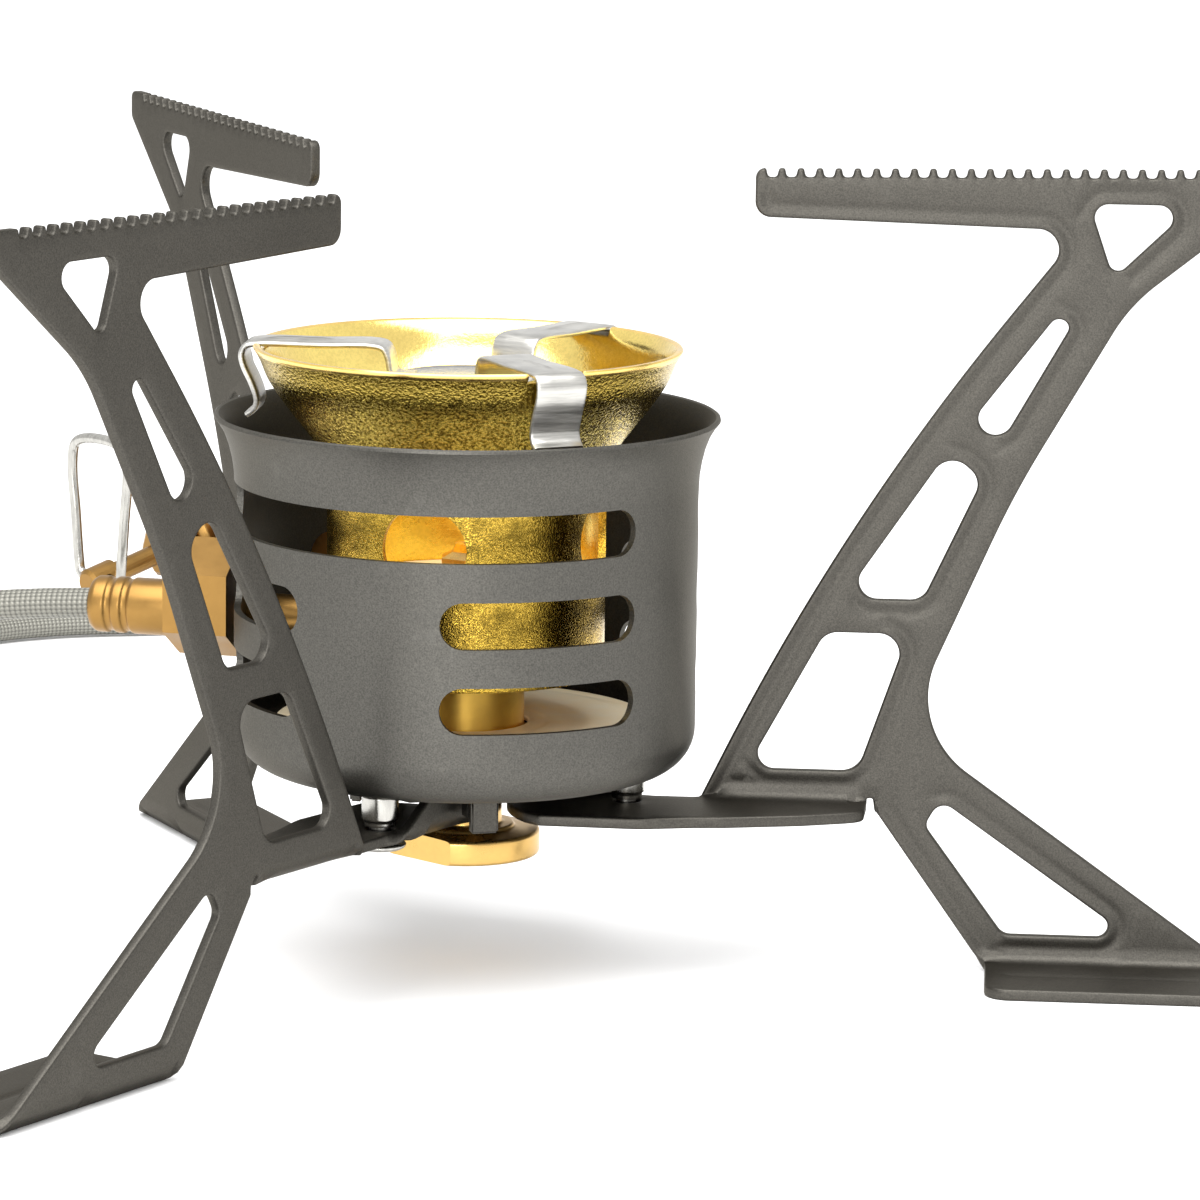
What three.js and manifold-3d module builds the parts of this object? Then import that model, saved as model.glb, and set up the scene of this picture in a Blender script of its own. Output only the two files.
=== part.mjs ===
// Folding camping stove with a hose-fed canister valve.
// Millimetres, +Z up, feet at z = 0. The stove is drawn round the burner's axis and then
// moved so that the origin is under the middle of the stove without its hose and valve.
// The front of the stove is -Y; the gas inlet leaves to the left.

import * as THREE from "three";
import { mergeVertices } from "three/addons/utils/BufferGeometryUtils.js";
import Module from "manifold-3d";

const wasm = await Module();
wasm.setup();

// ---- driving dimensions ----
const GAP = 0.3;
const SHEET = 1.2;
const STOVE_HEIGHT = 85.2;
const AXIS_X = -15.58;
const AXIS_Y = -2.47;

const LEG_COUNT = 3;
const LEG_AZIMUTH = -4;
const LEG_REACH = 82;
const LEG_INNER = 24.2;
const BLADE_SIDE = 4.2;
const TAB_BOTTOM = 16.8;
const TAB_TOP = TAB_BOTTOM + SHEET;
const PIVOT = new THREE.Vector2(17, 1.6);
const TAB_REACH = 12.6;
const TOOTH_COUNT = 25;
const TOOTH_PITCH = 1.95;
const TOOTH_START = 30.9;
const TOOTH_RADIUS = 0.52;
const TOOTH_DEPTH = 0.8;

const CUP_RADIUS = 24.1;
const CUP_WALL = 0.8;
const CUP_BOTTOM = 21.8;
const CUP_RIM_RADIUS = 26.3;
const CUP_TOP = 58.4;
const SLOT_HEIGHT = 4.8;
const SLOT_ROWS = [32, 40.7, 49.4];
const SHORT_SLOT_SPAN = 51.4;
const LONG_SLOT_SPAN = 141.4;
const FIRST_SLOT = -69.2;

const TUBE_RADIUS = 14.5;
const TUBE_BOTTOM = 32;
const TUBE_TOP = 53;
const WINDOW_RADIUS = 4.5;
const WINDOW_HEIGHT = 46.5;
const WINDOW_AZIMUTH = -106.6;
const TUBE_FLOOR = 40.3;
const BOWL_TOP = 65.7;
const BOWL_RADIUS = 22.2;
const SPREADER_AZIMUTH = -65;
const SPREADER_WIDTH = 5.4;
const SPREADER_DISC = 7.5;
const SPREADER_SHEET = 0.6;

const COLUMN_RADIUS = 6.2;
const STUD_RADIUS = 1.9;
const REFLECTOR_RADIUS = 20;
const REFLECTOR_BOTTOM = 25.9;
const HUB_BOTTOM = 19.9;
const HUB_RADIUS = 10.4;
const NUT_RADIUS = 8;
const NUT_TURN = -43;
const NUT_BOTTOM = 12.4;
const NUT_TOP = 15.6;

const INLET_AZIMUTH = 165;
const INLET_HEIGHT = 36.3;
const PIPE_RADIUS = 2.2;
const BLOCK_RADIUS = 6.3;
const BLOCK_START = 24.5;
const BLOCK_END = 31.5;
const FERRULE_RADIUS = 3;
const FERRULE_LENGTH = 9.2;
const HOSE_RADIUS = 1.6;

const VALVE_PLACE = new THREE.Vector3(-38.8, 226.7, 9.5);
const VALVE_TURN = 45;
const VALVE_TILT = 13.5;
const COLLAR_RADIUS = 9.5;
const COLLAR_START = 7.8;
const COLLAR_END = 18.8;
const SPINDLE_CROSS = 26;
const WIRE_RADIUS = 0.75;

const rad = THREE.MathUtils.degToRad;

// ---- materials ----
const finish = (color, roughness, metalness) =>
  new THREE.MeshStandardMaterial({ color, roughness, metalness });
const titanium = finish(0x6b6962, 0.5, 0.9);
const cupTitanium = finish(0x7a7873, 0.5, 0.9);
const brass = finish(0xc08a3e, 0.35, 1);
const goldBrass = finish(0xcaa43a, 0.4, 1);
const stainless = finish(0xa9a7a3, 0.35, 1);
const paleMetal = finish(0xd8cfba, 0.45, 1);
const braid = finish(0xb9b7b0, 0.7, 0.4);
const rubber = finish(0x1b1b1b, 0.8, 0);

const group = new THREE.Group();

function addPiece(name, geometry, material, parent = group) {
  const mesh = new THREE.Mesh(geometry, material);
  mesh.name = name;
  parent.add(mesh);
  return mesh;
}

// ---- solids: joining and cutting ----
function toSolid(geometry) {
  const bare = geometry.clone();
  bare.deleteAttribute("normal");
  bare.deleteAttribute("uv");
  const merged = mergeVertices(bare, 1e-4);
  const vertProperties = new Float32Array(merged.attributes.position.array);
  const triVerts = new Uint32Array(merged.index.array);
  return new wasm.Manifold(new wasm.Mesh({ numProp: 3, vertProperties, triVerts }));
}

function toGeometry(solid) {
  const mesh = solid.getMesh();
  const geometry = new THREE.BufferGeometry();
  geometry.setAttribute("position", new THREE.BufferAttribute(mesh.vertProperties, 3));
  geometry.setIndex(new THREE.BufferAttribute(mesh.triVerts, 1));
  return geometry;
}

function join(first, ...others) {
  return toGeometry(others.reduce((sum, next) => sum.add(toSolid(next)), toSolid(first)));
}

function cut(first, ...others) {
  return toGeometry(others.reduce((rest, next) => rest.subtract(toSolid(next)), toSolid(first)));
}

function common(first, second) {
  return toGeometry(toSolid(first).intersect(toSolid(second)));
}

// ---- shapes ----
// corners are [x, y, radius]; each corner with a radius becomes an arc.
function roundedOutline(corners, steps = 4) {
  const points = [];
  corners.forEach(([x, y, radius], i) => {
    const here = new THREE.Vector2(x, y);
    if (!radius) {
      points.push(here);
      return;
    }
    const [px, py] = corners[(i + corners.length - 1) % corners.length];
    const [nx, ny] = corners[(i + 1) % corners.length];
    const back = new THREE.Vector2(px, py).sub(here).normalize();
    const ahead = new THREE.Vector2(nx, ny).sub(here).normalize();
    const half = Math.acos(THREE.MathUtils.clamp(back.dot(ahead), -1, 1)) / 2;
    const bisector = back.clone().add(ahead).normalize();
    const centre = here.clone().addScaledVector(bisector, radius / Math.sin(half));
    const start = here.clone().addScaledVector(back, radius / Math.tan(half)).sub(centre);
    const end = here.clone().addScaledVector(ahead, radius / Math.tan(half)).sub(centre);
    const turn = Math.atan2(start.cross(end), start.dot(end));
    for (let k = 0; k <= steps; k++) {
      const point = start.clone().rotateAround(new THREE.Vector2(), (turn * k) / steps);
      points.push(point.add(centre));
    }
  });
  return points;
}

function plate(outline, thickness, holes = []) {
  const clockwise = THREE.ShapeUtils.isClockWise(outline);
  const shape = new THREE.Shape(clockwise ? [...outline].reverse() : outline);
  shape.holes = holes.map((hole) => new THREE.Path(hole));
  return new THREE.ExtrudeGeometry(shape, { depth: thickness, bevelEnabled: false });
}

function arcPoints(centre, radius, from, to, steps) {
  const points = [];
  for (let k = 0; k <= steps; k++) {
    const angle = rad(from + ((to - from) * k) / steps);
    const x = centre.x + radius * Math.cos(angle);
    points.push(new THREE.Vector2(x, centre.y + radius * Math.sin(angle)));
  }
  return points;
}

function turned(profile, segments = 60) {
  const points = profile.map(([r, z]) => new THREE.Vector2(r, z));
  return new THREE.LatheGeometry(points, segments).rotateX(Math.PI / 2);
}

function rod(radius, length, segments = 24) {
  return new THREE.CylinderGeometry(radius, radius, length, segments);
}

// A rod along the direction of an azimuth, from one distance off the Z axis to another.
function radialRod(radius, from, to, azimuth, height, segments = 24) {
  const geometry = rod(radius, to - from, segments).rotateZ(-Math.PI / 2);
  return geometry.translate((from + to) / 2, 0, height).rotateZ(rad(azimuth));
}

function tubeAlong(path, radius, steps, sides) {
  const section = new THREE.Shape(arcPoints(new THREE.Vector2(), radius, 0, 360, sides).slice(0, -1));
  return new THREE.ExtrudeGeometry(section, { steps, bevelEnabled: false, extrudePath: path });
}

// ---- one folding leg: blade, hinge tab, stop ear and foot, out of one sheet ----
// Leg frame: x outward from the burner axis, y to the side that the blade stands on.
function bladeOutline() {
  return roundedOutline([
    [29.2, 84.3, 0.95],
    [LEG_REACH, STOVE_HEIGHT, 0.8],
    [LEG_REACH, 82.2, 1.2],
    [68.1, 71, 18],
    [56.8, 51.2, 100],
    [45.9, 25.9, 10],
    [81, 1, 1.5],
    [LEG_REACH, 0.8, 0.3],
    [LEG_REACH, 0, 0],
    [54.9, 0, 1],
    [42.3, TAB_BOTTOM, 0],
    [LEG_INNER, TAB_BOTTOM, 1],
    [39.05, 48, 260],
    [62.8, 78.6, 2.2],
    [29.2, 79.35, 1.65],
  ]);
}

function bladeHoles() {
  return [
    [[63.6, 81.4, 1.4], [74.2, 81.4, 1.4], [66.3, 73.7, 1]],
    [[60.4, 69.5, 1], [62.3, 69.1, 0.9], [55.6, 57.1, 1.9], [51, 57.1, 1.75]],
    [[49.8, 55.4, 2.2], [53.3, 52.4, 2.1], [47.4, 39.5, 2], [39.1, 39.5, 1.9]],
    [[37.4, 35.9, 2.2], [46, 35.9, 2.2], [41, 21.1, 2.4], [29.4, 21.1, 1.7]],
    [[49.8, 18.3, 1.4], [70.3, 4, 1.2], [56.7, 4, 1.6], [48.2, 15.5, 1.3]],
  ].map((corners) => roundedOutline(corners));
}

function bladeTeeth() {
  const cutters = [];
  for (let k = 0; k < TOOTH_COUNT; k++) {
    const x = TOOTH_START + k * TOOTH_PITCH;
    const top = 84.3 + ((STOVE_HEIGHT - 84.3) * (x - 29.2)) / (LEG_REACH - 29.2);
    const bottom = new THREE.Vector2(x, top - TOOTH_DEPTH + TOOTH_RADIUS);
    const notch = arcPoints(bottom, TOOTH_RADIUS, 180, 360, 3);
    notch.push(new THREE.Vector2(x + TOOTH_RADIUS, top + 1));
    notch.push(new THREE.Vector2(x - TOOTH_RADIUS, top + 1));
    cutters.push(plate(notch, 3 * SHEET).translate(0, 0, -SHEET));
  }
  return cutters;
}

function tabOutline() {
  const inner = arcPoints(PIVOT, TAB_REACH, 141, 216, 9);
  return [
    ...inner,
    ...roundedOutline([
      [8.4, -7.2, 1],
      [19, -7.6, 6],
      [35.5, -3.8, 10],
      [41.9, -1, 2.4],
      [42.3, BLADE_SIDE + SHEET, 0],
      [19, BLADE_SIDE + SHEET, 4],
      [13.2, 8.6, 3],
    ]),
  ];
}

function stopEar() {
  const from = arcPoints(PIVOT, 9.4, 139, 145.3, 1);
  const to = arcPoints(PIVOT, TAB_REACH, 145.3, 139, 1);
  return plate([...from, ...to], 20.5 - TAB_BOTTOM).translate(0, 0, TAB_BOTTOM);
}

function legGeometry() {
  const upright = (flat) => flat.rotateX(Math.PI / 2).translate(0, BLADE_SIDE + SHEET, 0);
  const blade = upright(cut(plate(bladeOutline(), SHEET, bladeHoles()), ...bladeTeeth()));
  const hole = arcPoints(PIVOT, 1.4, 360, 0, 18).slice(0, -1);
  const tab = plate(tabOutline(), SHEET, [hole]).translate(0, 0, TAB_BOTTOM);
  const foot = plate(
    roundedOutline([
      [54.9, BLADE_SIDE + SHEET, 0],
      [54.9, -8.2, 2.6],
      [LEG_REACH, -8.2, 4],
      [LEG_REACH, BLADE_SIDE + SHEET, 0],
    ]),
    SHEET,
  );
  return join(blade, tab, foot, stopEar());
}

function rivetGeometry() {
  const outside = [
    [0, 15.9],
    [2.2, 15.9],
    [2.7, 16.2],
    [2.7, TAB_BOTTOM - GAP],
    [1.1, TAB_BOTTOM - GAP],
    [1.1, CUP_BOTTOM + CUP_WALL + GAP],
    [2.6, CUP_BOTTOM + CUP_WALL + GAP],
    [2.3, CUP_BOTTOM + CUP_WALL + 0.9],
    [1.2, CUP_BOTTOM + CUP_WALL + 1.2],
    [0, CUP_BOTTOM + CUP_WALL + 1.3],
  ];
  return turned(outside, 18).translate(PIVOT.x, PIVOT.y, 0);
}

function spacerGeometry() {
  const bottom = TAB_TOP + GAP;
  const top = CUP_BOTTOM - GAP;
  const profile = [
    [1.4, bottom],
    [1.6, bottom],
    [1.6, bottom + 0.5],
    [1.9, bottom + 0.7],
    [1.9, top],
    [1.4, top],
    [1.4, bottom],
  ];
  return turned(profile, 18).translate(PIVOT.x, PIVOT.y, 0);
}

function addLegs() {
  for (let k = 0; k < LEG_COUNT; k++) {
    const holder = new THREE.Group();
    holder.rotation.z = rad(LEG_AZIMUTH + (360 / LEG_COUNT) * k);
    addPiece(`leg_${k + 1}`, legGeometry(), titanium, holder);
    addPiece(`leg_rivet_${k + 1}`, rivetGeometry(), stainless, holder);
    addPiece(`leg_spacer_${k + 1}`, spacerGeometry(), stainless, holder);
    group.add(holder);
  }
}

// ---- hub plate under the cup, with a stop tooth for each leg, and the nut below it ----
function hubGeometry() {
  const disc = arcPoints(new THREE.Vector2(), HUB_RADIUS, 0, 360, 48).slice(0, -1);
  const hole = arcPoints(new THREE.Vector2(), STUD_RADIUS + GAP, 360, 0, 20).slice(0, -1);
  const top = CUP_BOTTOM - GAP;
  const flat = plate(disc, top - HUB_BOTTOM, [hole]).translate(0, 0, HUB_BOTTOM);
  const teeth = [];
  for (let k = 0; k < LEG_COUNT; k++) {
    const outline = [
      ...arcPoints(PIVOT, 9.6, 147.4, 155, 1),
      ...arcPoints(PIVOT, 12.4, 155, 147.4, 1),
    ];
    const tooth = plate(outline, top - TAB_TOP - 0.4).translate(0, 0, TAB_TOP + 0.4);
    teeth.push(tooth.rotateZ(rad(LEG_AZIMUTH + (360 / LEG_COUNT) * k)));
  }
  return join(flat, ...teeth);
}

function nutGeometry() {
  const collar = 4;
  const body = turned([
    [STUD_RADIUS + GAP, NUT_BOTTOM],
    [NUT_RADIUS - 0.5, NUT_BOTTOM],
    [NUT_RADIUS, NUT_BOTTOM + 0.5],
    [NUT_RADIUS, NUT_TOP - 0.3],
    [NUT_RADIUS - 0.3, NUT_TOP],
    [collar, NUT_TOP],
    [collar, HUB_BOTTOM - GAP],
    [STUD_RADIUS + GAP, HUB_BOTTOM - GAP],
    [STUD_RADIUS + GAP, NUT_BOTTOM],
  ], 36);
  const flats = [-1, 1].map((side) =>
    new THREE.BoxGeometry(20, 4, 4).translate(0, side * (6.6 + 2), NUT_BOTTOM + 0.4),
  );
  return cut(body, ...flats).rotateZ(rad(NUT_TURN));
}

// ---- cup that shields the flame ----
function slotCutter(span, azimuth, height) {
  const half = SLOT_HEIGHT / 2;
  const end = span / 2 - THREE.MathUtils.radToDeg(Math.asin(half / CUP_RADIUS));
  const near = CUP_RADIUS - 3;
  const far = CUP_RADIUS + 4;
  const ring = turned([
    [near, height - half],
    [far, height - half],
    [far, height + half],
    [near, height + half],
    [near, height - half],
  ], 60);
  const reach = far / Math.cos(rad(end / 8)) + 2;
  const steps = Math.ceil(end / 8);
  const fan = [new THREE.Vector2(), ...arcPoints(new THREE.Vector2(), reach, -end, end, steps)];
  const wedge = plate(fan, 3 * SLOT_HEIGHT).translate(0, 0, height - 1.5 * SLOT_HEIGHT);
  const middle = common(ring, wedge.rotateZ(rad(azimuth)));
  const ends = [-end, end].map((offset) =>
    radialRod(half, near, far, azimuth + offset, height, 12),
  );
  return join(middle, ...ends);
}

function cupGeometry() {
  const r = CUP_RADIUS;
  const w = CUP_WALL;
  const corner = 4.4;
  const outer = arcPoints(new THREE.Vector2(r - corner, CUP_BOTTOM + corner), corner, 270, 360, 4);
  const inner = arcPoints(new THREE.Vector2(r - corner, CUP_BOTTOM + corner), corner - w, 360, 270, 4);
  const hole = STUD_RADIUS + GAP;
  const shell = turned([
    [hole, CUP_BOTTOM],
    ...outer.map((p) => [p.x, p.y]),
    [r, 51.5],
    [r + 0.3, 54.2],
    [r + 1, 56.6],
    [CUP_RIM_RADIUS, CUP_TOP],
    [CUP_RIM_RADIUS - 0.55, CUP_TOP + 0.45],
    [r + 1 - w, 57],
    [r + 0.3 - w, 54.4],
    [r - w, 51.5],
    ...inner.map((p) => [p.x, p.y]),
    [hole, CUP_BOTTOM + w],
    [hole, CUP_BOTTOM],
  ], 60);
  const cutters = [];
  for (let k = 0; k < 4; k++) {
    const azimuth = FIRST_SLOT + 90 * k;
    cutters.push(slotCutter(SHORT_SLOT_SPAN, azimuth, SLOT_ROWS[0]));
    cutters.push(slotCutter(SHORT_SLOT_SPAN, azimuth, SLOT_ROWS[1]));
  }
  for (const azimuth of [FIRST_SLOT - 45, FIRST_SLOT + 135]) {
    cutters.push(slotCutter(LONG_SLOT_SPAN, azimuth, SLOT_ROWS[2]));
  }
  cutters.push(radialRod(PIPE_RADIUS + GAP, r - 4, r + 4, INLET_AZIMUTH, INLET_HEIGHT));
  for (let k = 0; k < LEG_COUNT; k++) {
    const place = PIVOT.clone().rotateAround(new THREE.Vector2(), rad(LEG_AZIMUTH + 120 * k));
    const drill = rod(1.4, 4, 18).rotateX(Math.PI / 2);
    cutters.push(drill.translate(place.x, place.y, CUP_BOTTOM));
  }
  return cut(shell, ...cutters);
}

// ---- burner: jet column, mixing tube, bowl and flame spreader ----
function columnGeometry() {
  const neck = 3;
  const shoulder = TUBE_FLOOR - GAP;
  const top = TUBE_FLOOR + 1.3;
  const body = turned([
    [0, 13.2],
    [STUD_RADIUS, 13.2],
    [STUD_RADIUS, CUP_BOTTOM + CUP_WALL + GAP],
    [COLUMN_RADIUS, CUP_BOTTOM + CUP_WALL + GAP],
    [COLUMN_RADIUS, REFLECTOR_BOTTOM - 1.3],
    [COLUMN_RADIUS + 1, REFLECTOR_BOTTOM - 1.3],
    [COLUMN_RADIUS + 1, REFLECTOR_BOTTOM - GAP],
    [COLUMN_RADIUS, REFLECTOR_BOTTOM - GAP],
    [COLUMN_RADIUS, shoulder - 0.4],
    [COLUMN_RADIUS - 0.4, shoulder],
    [neck, shoulder],
    [neck, top],
    [0, top],
  ], 32);
  const bore = rod(0.9, 12, 12).rotateX(Math.PI / 2).translate(0, 0, INLET_HEIGHT + 6);
  const feed = radialRod(0.9, 0, COLUMN_RADIUS + 1, INLET_AZIMUTH, INLET_HEIGHT, 12);
  return cut(body, bore, feed);
}

function nozzleGeometry() {
  const bottom = TUBE_FLOOR + 1.6;
  return turned([
    [0.35, bottom],
    [2.9, bottom],
    [2.9, bottom + 1.8],
    [1.6, bottom + 2.4],
    [1.3, bottom + 3.2],
    [0.35, bottom + 3.2],
    [0.35, bottom],
  ], 6);
}

function discRing(inner, outer, bottom, thickness, segments = 48) {
  return turned([
    [inner, bottom],
    [outer, bottom],
    [outer, bottom + thickness],
    [inner, bottom + thickness],
    [inner, bottom],
  ], segments);
}

function mixingTubeGeometry() {
  const inside = TUBE_RADIUS - 0.8;
  const shell = turned([
    [inside, TUBE_BOTTOM],
    [TUBE_RADIUS, TUBE_BOTTOM],
    [TUBE_RADIUS, TUBE_TOP],
    [inside, TUBE_TOP],
    [inside, TUBE_BOTTOM],
  ]);
  const cutters = [];
  for (let k = 0; k < 4; k++) {
    const azimuth = WINDOW_AZIMUTH + 90 * k;
    cutters.push(radialRod(WINDOW_RADIUS, 9, 18, azimuth, WINDOW_HEIGHT, 28));
  }
  cutters.push(radialRod(PIPE_RADIUS + GAP, 9, 18, INLET_AZIMUTH, INLET_HEIGHT, 18));
  return cut(shell, ...cutters);
}

function bowlGeometry() {
  const wall = 0.8;
  const outside = [
    [TUBE_RADIUS - 0.8, TUBE_TOP + GAP],
    [TUBE_RADIUS, TUBE_TOP + GAP],
    [16.3, 56.3],
    [18.7, 59.3],
    [20.8, 62],
    [21.6, 64.2],
    [BOWL_RADIUS, BOWL_TOP],
  ];
  const inside = outside.slice(2, -1).reverse();
  const profile = [
    ...outside,
    [BOWL_RADIUS - wall, BOWL_TOP + 0.1],
    ...inside.map(([r, z]) => [r - wall, z + 0.35]),
    [TUBE_RADIUS - 0.8, TUBE_TOP + 1],
    outside[0],
  ];
  const notches = [];
  for (let k = 0; k < 3; k++) {
    const box = new THREE.BoxGeometry(8, SPREADER_WIDTH + 0.8, 3);
    box.translate(BOWL_RADIUS, 0, BOWL_TOP + 0.5);
    notches.push(box.rotateZ(rad(SPREADER_AZIMUTH + 120 * k)));
  }
  return cut(turned(profile, 60), ...notches);
}

// A bent strip seen from the side: the same line twice, half a thickness to each side.
function stripOutline(line, thickness) {
  const sides = [1, -1].map((side) =>
    line.map((point, i) => {
      const before = line[Math.max(i - 1, 0)];
      const after = line[Math.min(i + 1, line.length - 1)];
      const along = after.clone().sub(before).normalize();
      const across = new THREE.Vector2(-along.y, along.x);
      return point.clone().addScaledVector(across, (side * thickness) / 2);
    }),
  );
  return [...sides[0], ...sides[1].reverse()];
}

function spreaderGeometry() {
  const level = BOWL_TOP - 0.4;
  const disc = BOWL_TOP - 3.3;
  const line = [
    [5, disc],
    [6.6, disc],
    [7.4, disc + 0.5],
    [9.2, level - 0.4],
    [10.2, level],
    [22.4, level],
    [23.2, level - 0.3],
    [23.6, level - 1.2],
    [23.2, level - 2.4],
    [21.8, 60.4],
    [21.6, 59.5],
    [22.1, 58.7],
    [22.9, 58.1],
  ].map(([x, y]) => new THREE.Vector2(x, y));
  const arms = [];
  for (let k = 0; k < 3; k++) {
    const arm = plate(stripOutline(line, SPREADER_SHEET), SPREADER_WIDTH).rotateX(Math.PI / 2);
    arm.translate(0, SPREADER_WIDTH / 2, 0);
    arms.push(arm.rotateZ(rad(SPREADER_AZIMUTH + 120 * k)));
  }
  const plateDisc = rod(SPREADER_DISC, SPREADER_SHEET, 48).rotateX(Math.PI / 2);
  return join(plateDisc.translate(0, 0, disc), ...arms);
}

function addBurner() {
  addPiece("cup", cupGeometry(), cupTitanium);
  addPiece("hub_plate", hubGeometry(), titanium);
  addPiece("base_nut", nutGeometry(), brass);
  addPiece("jet_column", columnGeometry(), brass);
  addPiece("jet_nozzle", nozzleGeometry(), brass);
  const reflector = discRing(COLUMN_RADIUS + GAP, REFLECTOR_RADIUS, REFLECTOR_BOTTOM, 0.6);
  addPiece("heat_reflector", reflector, paleMetal);
  const floor = discRing(3 + GAP, TUBE_RADIUS - 0.8 - GAP, TUBE_FLOOR, 0.8, 48);
  addPiece("tube_floor", floor, paleMetal);
  addPiece("mixing_tube", mixingTubeGeometry(), goldBrass);
  addPiece("burner_bowl", bowlGeometry(), goldBrass);
  addPiece("flame_spreader", spreaderGeometry(), stainless);
}

// ---- gas inlet through the cup's wall ----
function addInlet() {
  const pipeOuter = radialRod(PIPE_RADIUS, COLUMN_RADIUS + GAP, BLOCK_START - GAP, 0, 0, 18);
  const pipeBore = radialRod(1, 0, 40, 0, 0, 12);
  const blockOuter = radialRod(BLOCK_RADIUS, BLOCK_START, BLOCK_END, 0, 1.5, 6);
  const blockBore = radialRod(1.4, 20, 40, 0, 0, 12);
  const ferruleStart = BLOCK_END + GAP;
  const ferruleEnd = ferruleStart + FERRULE_LENGTH;
  const ferrule = turned([
    [0, ferruleStart],
    [FERRULE_RADIUS, ferruleStart],
    [FERRULE_RADIUS, ferruleEnd - 0.6],
    [FERRULE_RADIUS - 0.4, ferruleEnd],
    [0, ferruleEnd],
  ], 28).rotateY(Math.PI / 2);
  const holder = new THREE.Group();
  holder.position.z = INLET_HEIGHT;
  holder.rotation.z = rad(INLET_AZIMUTH);
  addPiece("inlet_pipe", cut(pipeOuter, pipeBore), brass, holder);
  addPiece("inlet_block", cut(blockOuter, blockBore), brass, holder);
  addPiece("stove_ferrule", ferrule, brass, holder);
  group.add(holder);
}

// ---- hose: out to the left, down to the table, back, and round behind the stove ----
const hoseRoute = [
  [-39.89, 10.69, 36.3],
  [-45.4, 12.2, 35.9],
  [-51.4, 13.9, 35.2],
  [-57.6, 16.5, 33.8],
  [-63.6, 20.4, 30.9],
  [-69.2, 26, 26.2],
  [-73.9, 33.6, 20],
  [-77.4, 43.2, 13.4],
  [-79.8, 54.6, 7.6],
  [-81, 67.2, 3.6],
  [-81.4, 81, 1.95],
  [-81.4, 97, 1.85],
  [-81.4, 113, 1.85],
  [-81.4, 127, 1.85],
  [-81.2, 141, 1.85],
  [-79.8, 154.5, 1.85],
  [-76, 166.6, 1.85],
  [-69.4, 176.2, 1.85],
  [-60.2, 182.2, 1.85],
  [-49, 185, 1.85],
  [-37, 187.2, 1.85],
  [-25, 190.4, 1.85],
  [-13, 194.6, 1.9],
  [-2.4, 200, 2.2],
  [6, 207.2, 3.4],
  [11, 216.4, 5.6],
  [12.2, 226.6, 8.2],
  [9.2, 236.2, 10.9],
  [2.8, 243.6, 13.3],
  [-5.8, 247.6, 15],
  [-14.4, 247.2, 15.6],
  [-21.2, 243.6, 15.2],
  [-26.4, 239.1, 13.71],
].map(([x, y, z]) => new THREE.Vector3(x, y, z));

function addHose() {
  const path = new THREE.CatmullRomCurve3(hoseRoute, false, "centripetal");
  addPiece("hose", tubeAlong(path, HOSE_RADIUS, 56, 10), braid);
}

// ---- canister valve at the far end of the hose ----
// Valve frame: +x towards the hose, -x along the spindle, -y into the canister, z up.
function valveBodyGeometry() {
  const barrel = turned([
    [0, -10.3],
    [4.6, -10.3],
    [5.5, -9.4],
    [5.5, 7],
    [4.5, 8],
    [0, 8],
  ], 32).rotateY(Math.PI / 2);
  const boss = rod(5, 7.5, 28).translate(0, -3.75, 0);
  return join(barrel, boss);
}

function collarGeometry() {
  const floor = COLLAR_START + 2.2;
  return turned([
    [1.5, COLLAR_START],
    [COLLAR_RADIUS - 1.5, COLLAR_START],
    [COLLAR_RADIUS, COLLAR_START + 1.5],
    [COLLAR_RADIUS, COLLAR_END - 0.5],
    [COLLAR_RADIUS - 0.5, COLLAR_END],
    [5.6, COLLAR_END],
    [5.6, floor],
    [1.5, floor],
    [1.5, COLLAR_START],
  ], 36).rotateX(Math.PI / 2);
}

function packingNutGeometry() {
  return turned([
    [1.9, 10.6],
    [4.6, 10.6],
    [4.6, 14],
    [3.6, 14.8],
    [1.9, 14.8],
    [1.9, 10.6],
  ], 6).rotateY(-Math.PI / 2);
}

function spindleGeometry() {
  const shaft = turned([
    [0, 10.7],
    [1.5, 10.7],
    [1.5, 23.2],
    [2.2, 23.7],
    [2.2, 27.9],
    [1.7, 28.4],
    [0, 28.4],
  ], 24).rotateY(-Math.PI / 2);
  return cut(shaft, rod(WIRE_RADIUS + GAP, 8, 14).translate(-SPINDLE_CROSS, 0, 0));
}

function handleGeometry() {
  const half = [
    [0.4, 0],
    [3, 0],
    [4.2, 0.7],
    [4.6, 2.4],
    [5.3, 9],
    [6, 16],
    [5.4, 18.8],
    [3.4, 19.8],
  ];
  const mirrored = half.map(([y, z]) => [-y, z]).reverse();
  const points = [...half, ...mirrored].map(([y, z]) => new THREE.Vector3(0, y, z));
  const path = new THREE.CatmullRomCurve3(points, false, "centripetal");
  const loop = tubeAlong(path, WIRE_RADIUS, 48, 8).rotateY(rad(VALVE_TILT));
  return loop.translate(-SPINDLE_CROSS, 0, 0);
}

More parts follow.
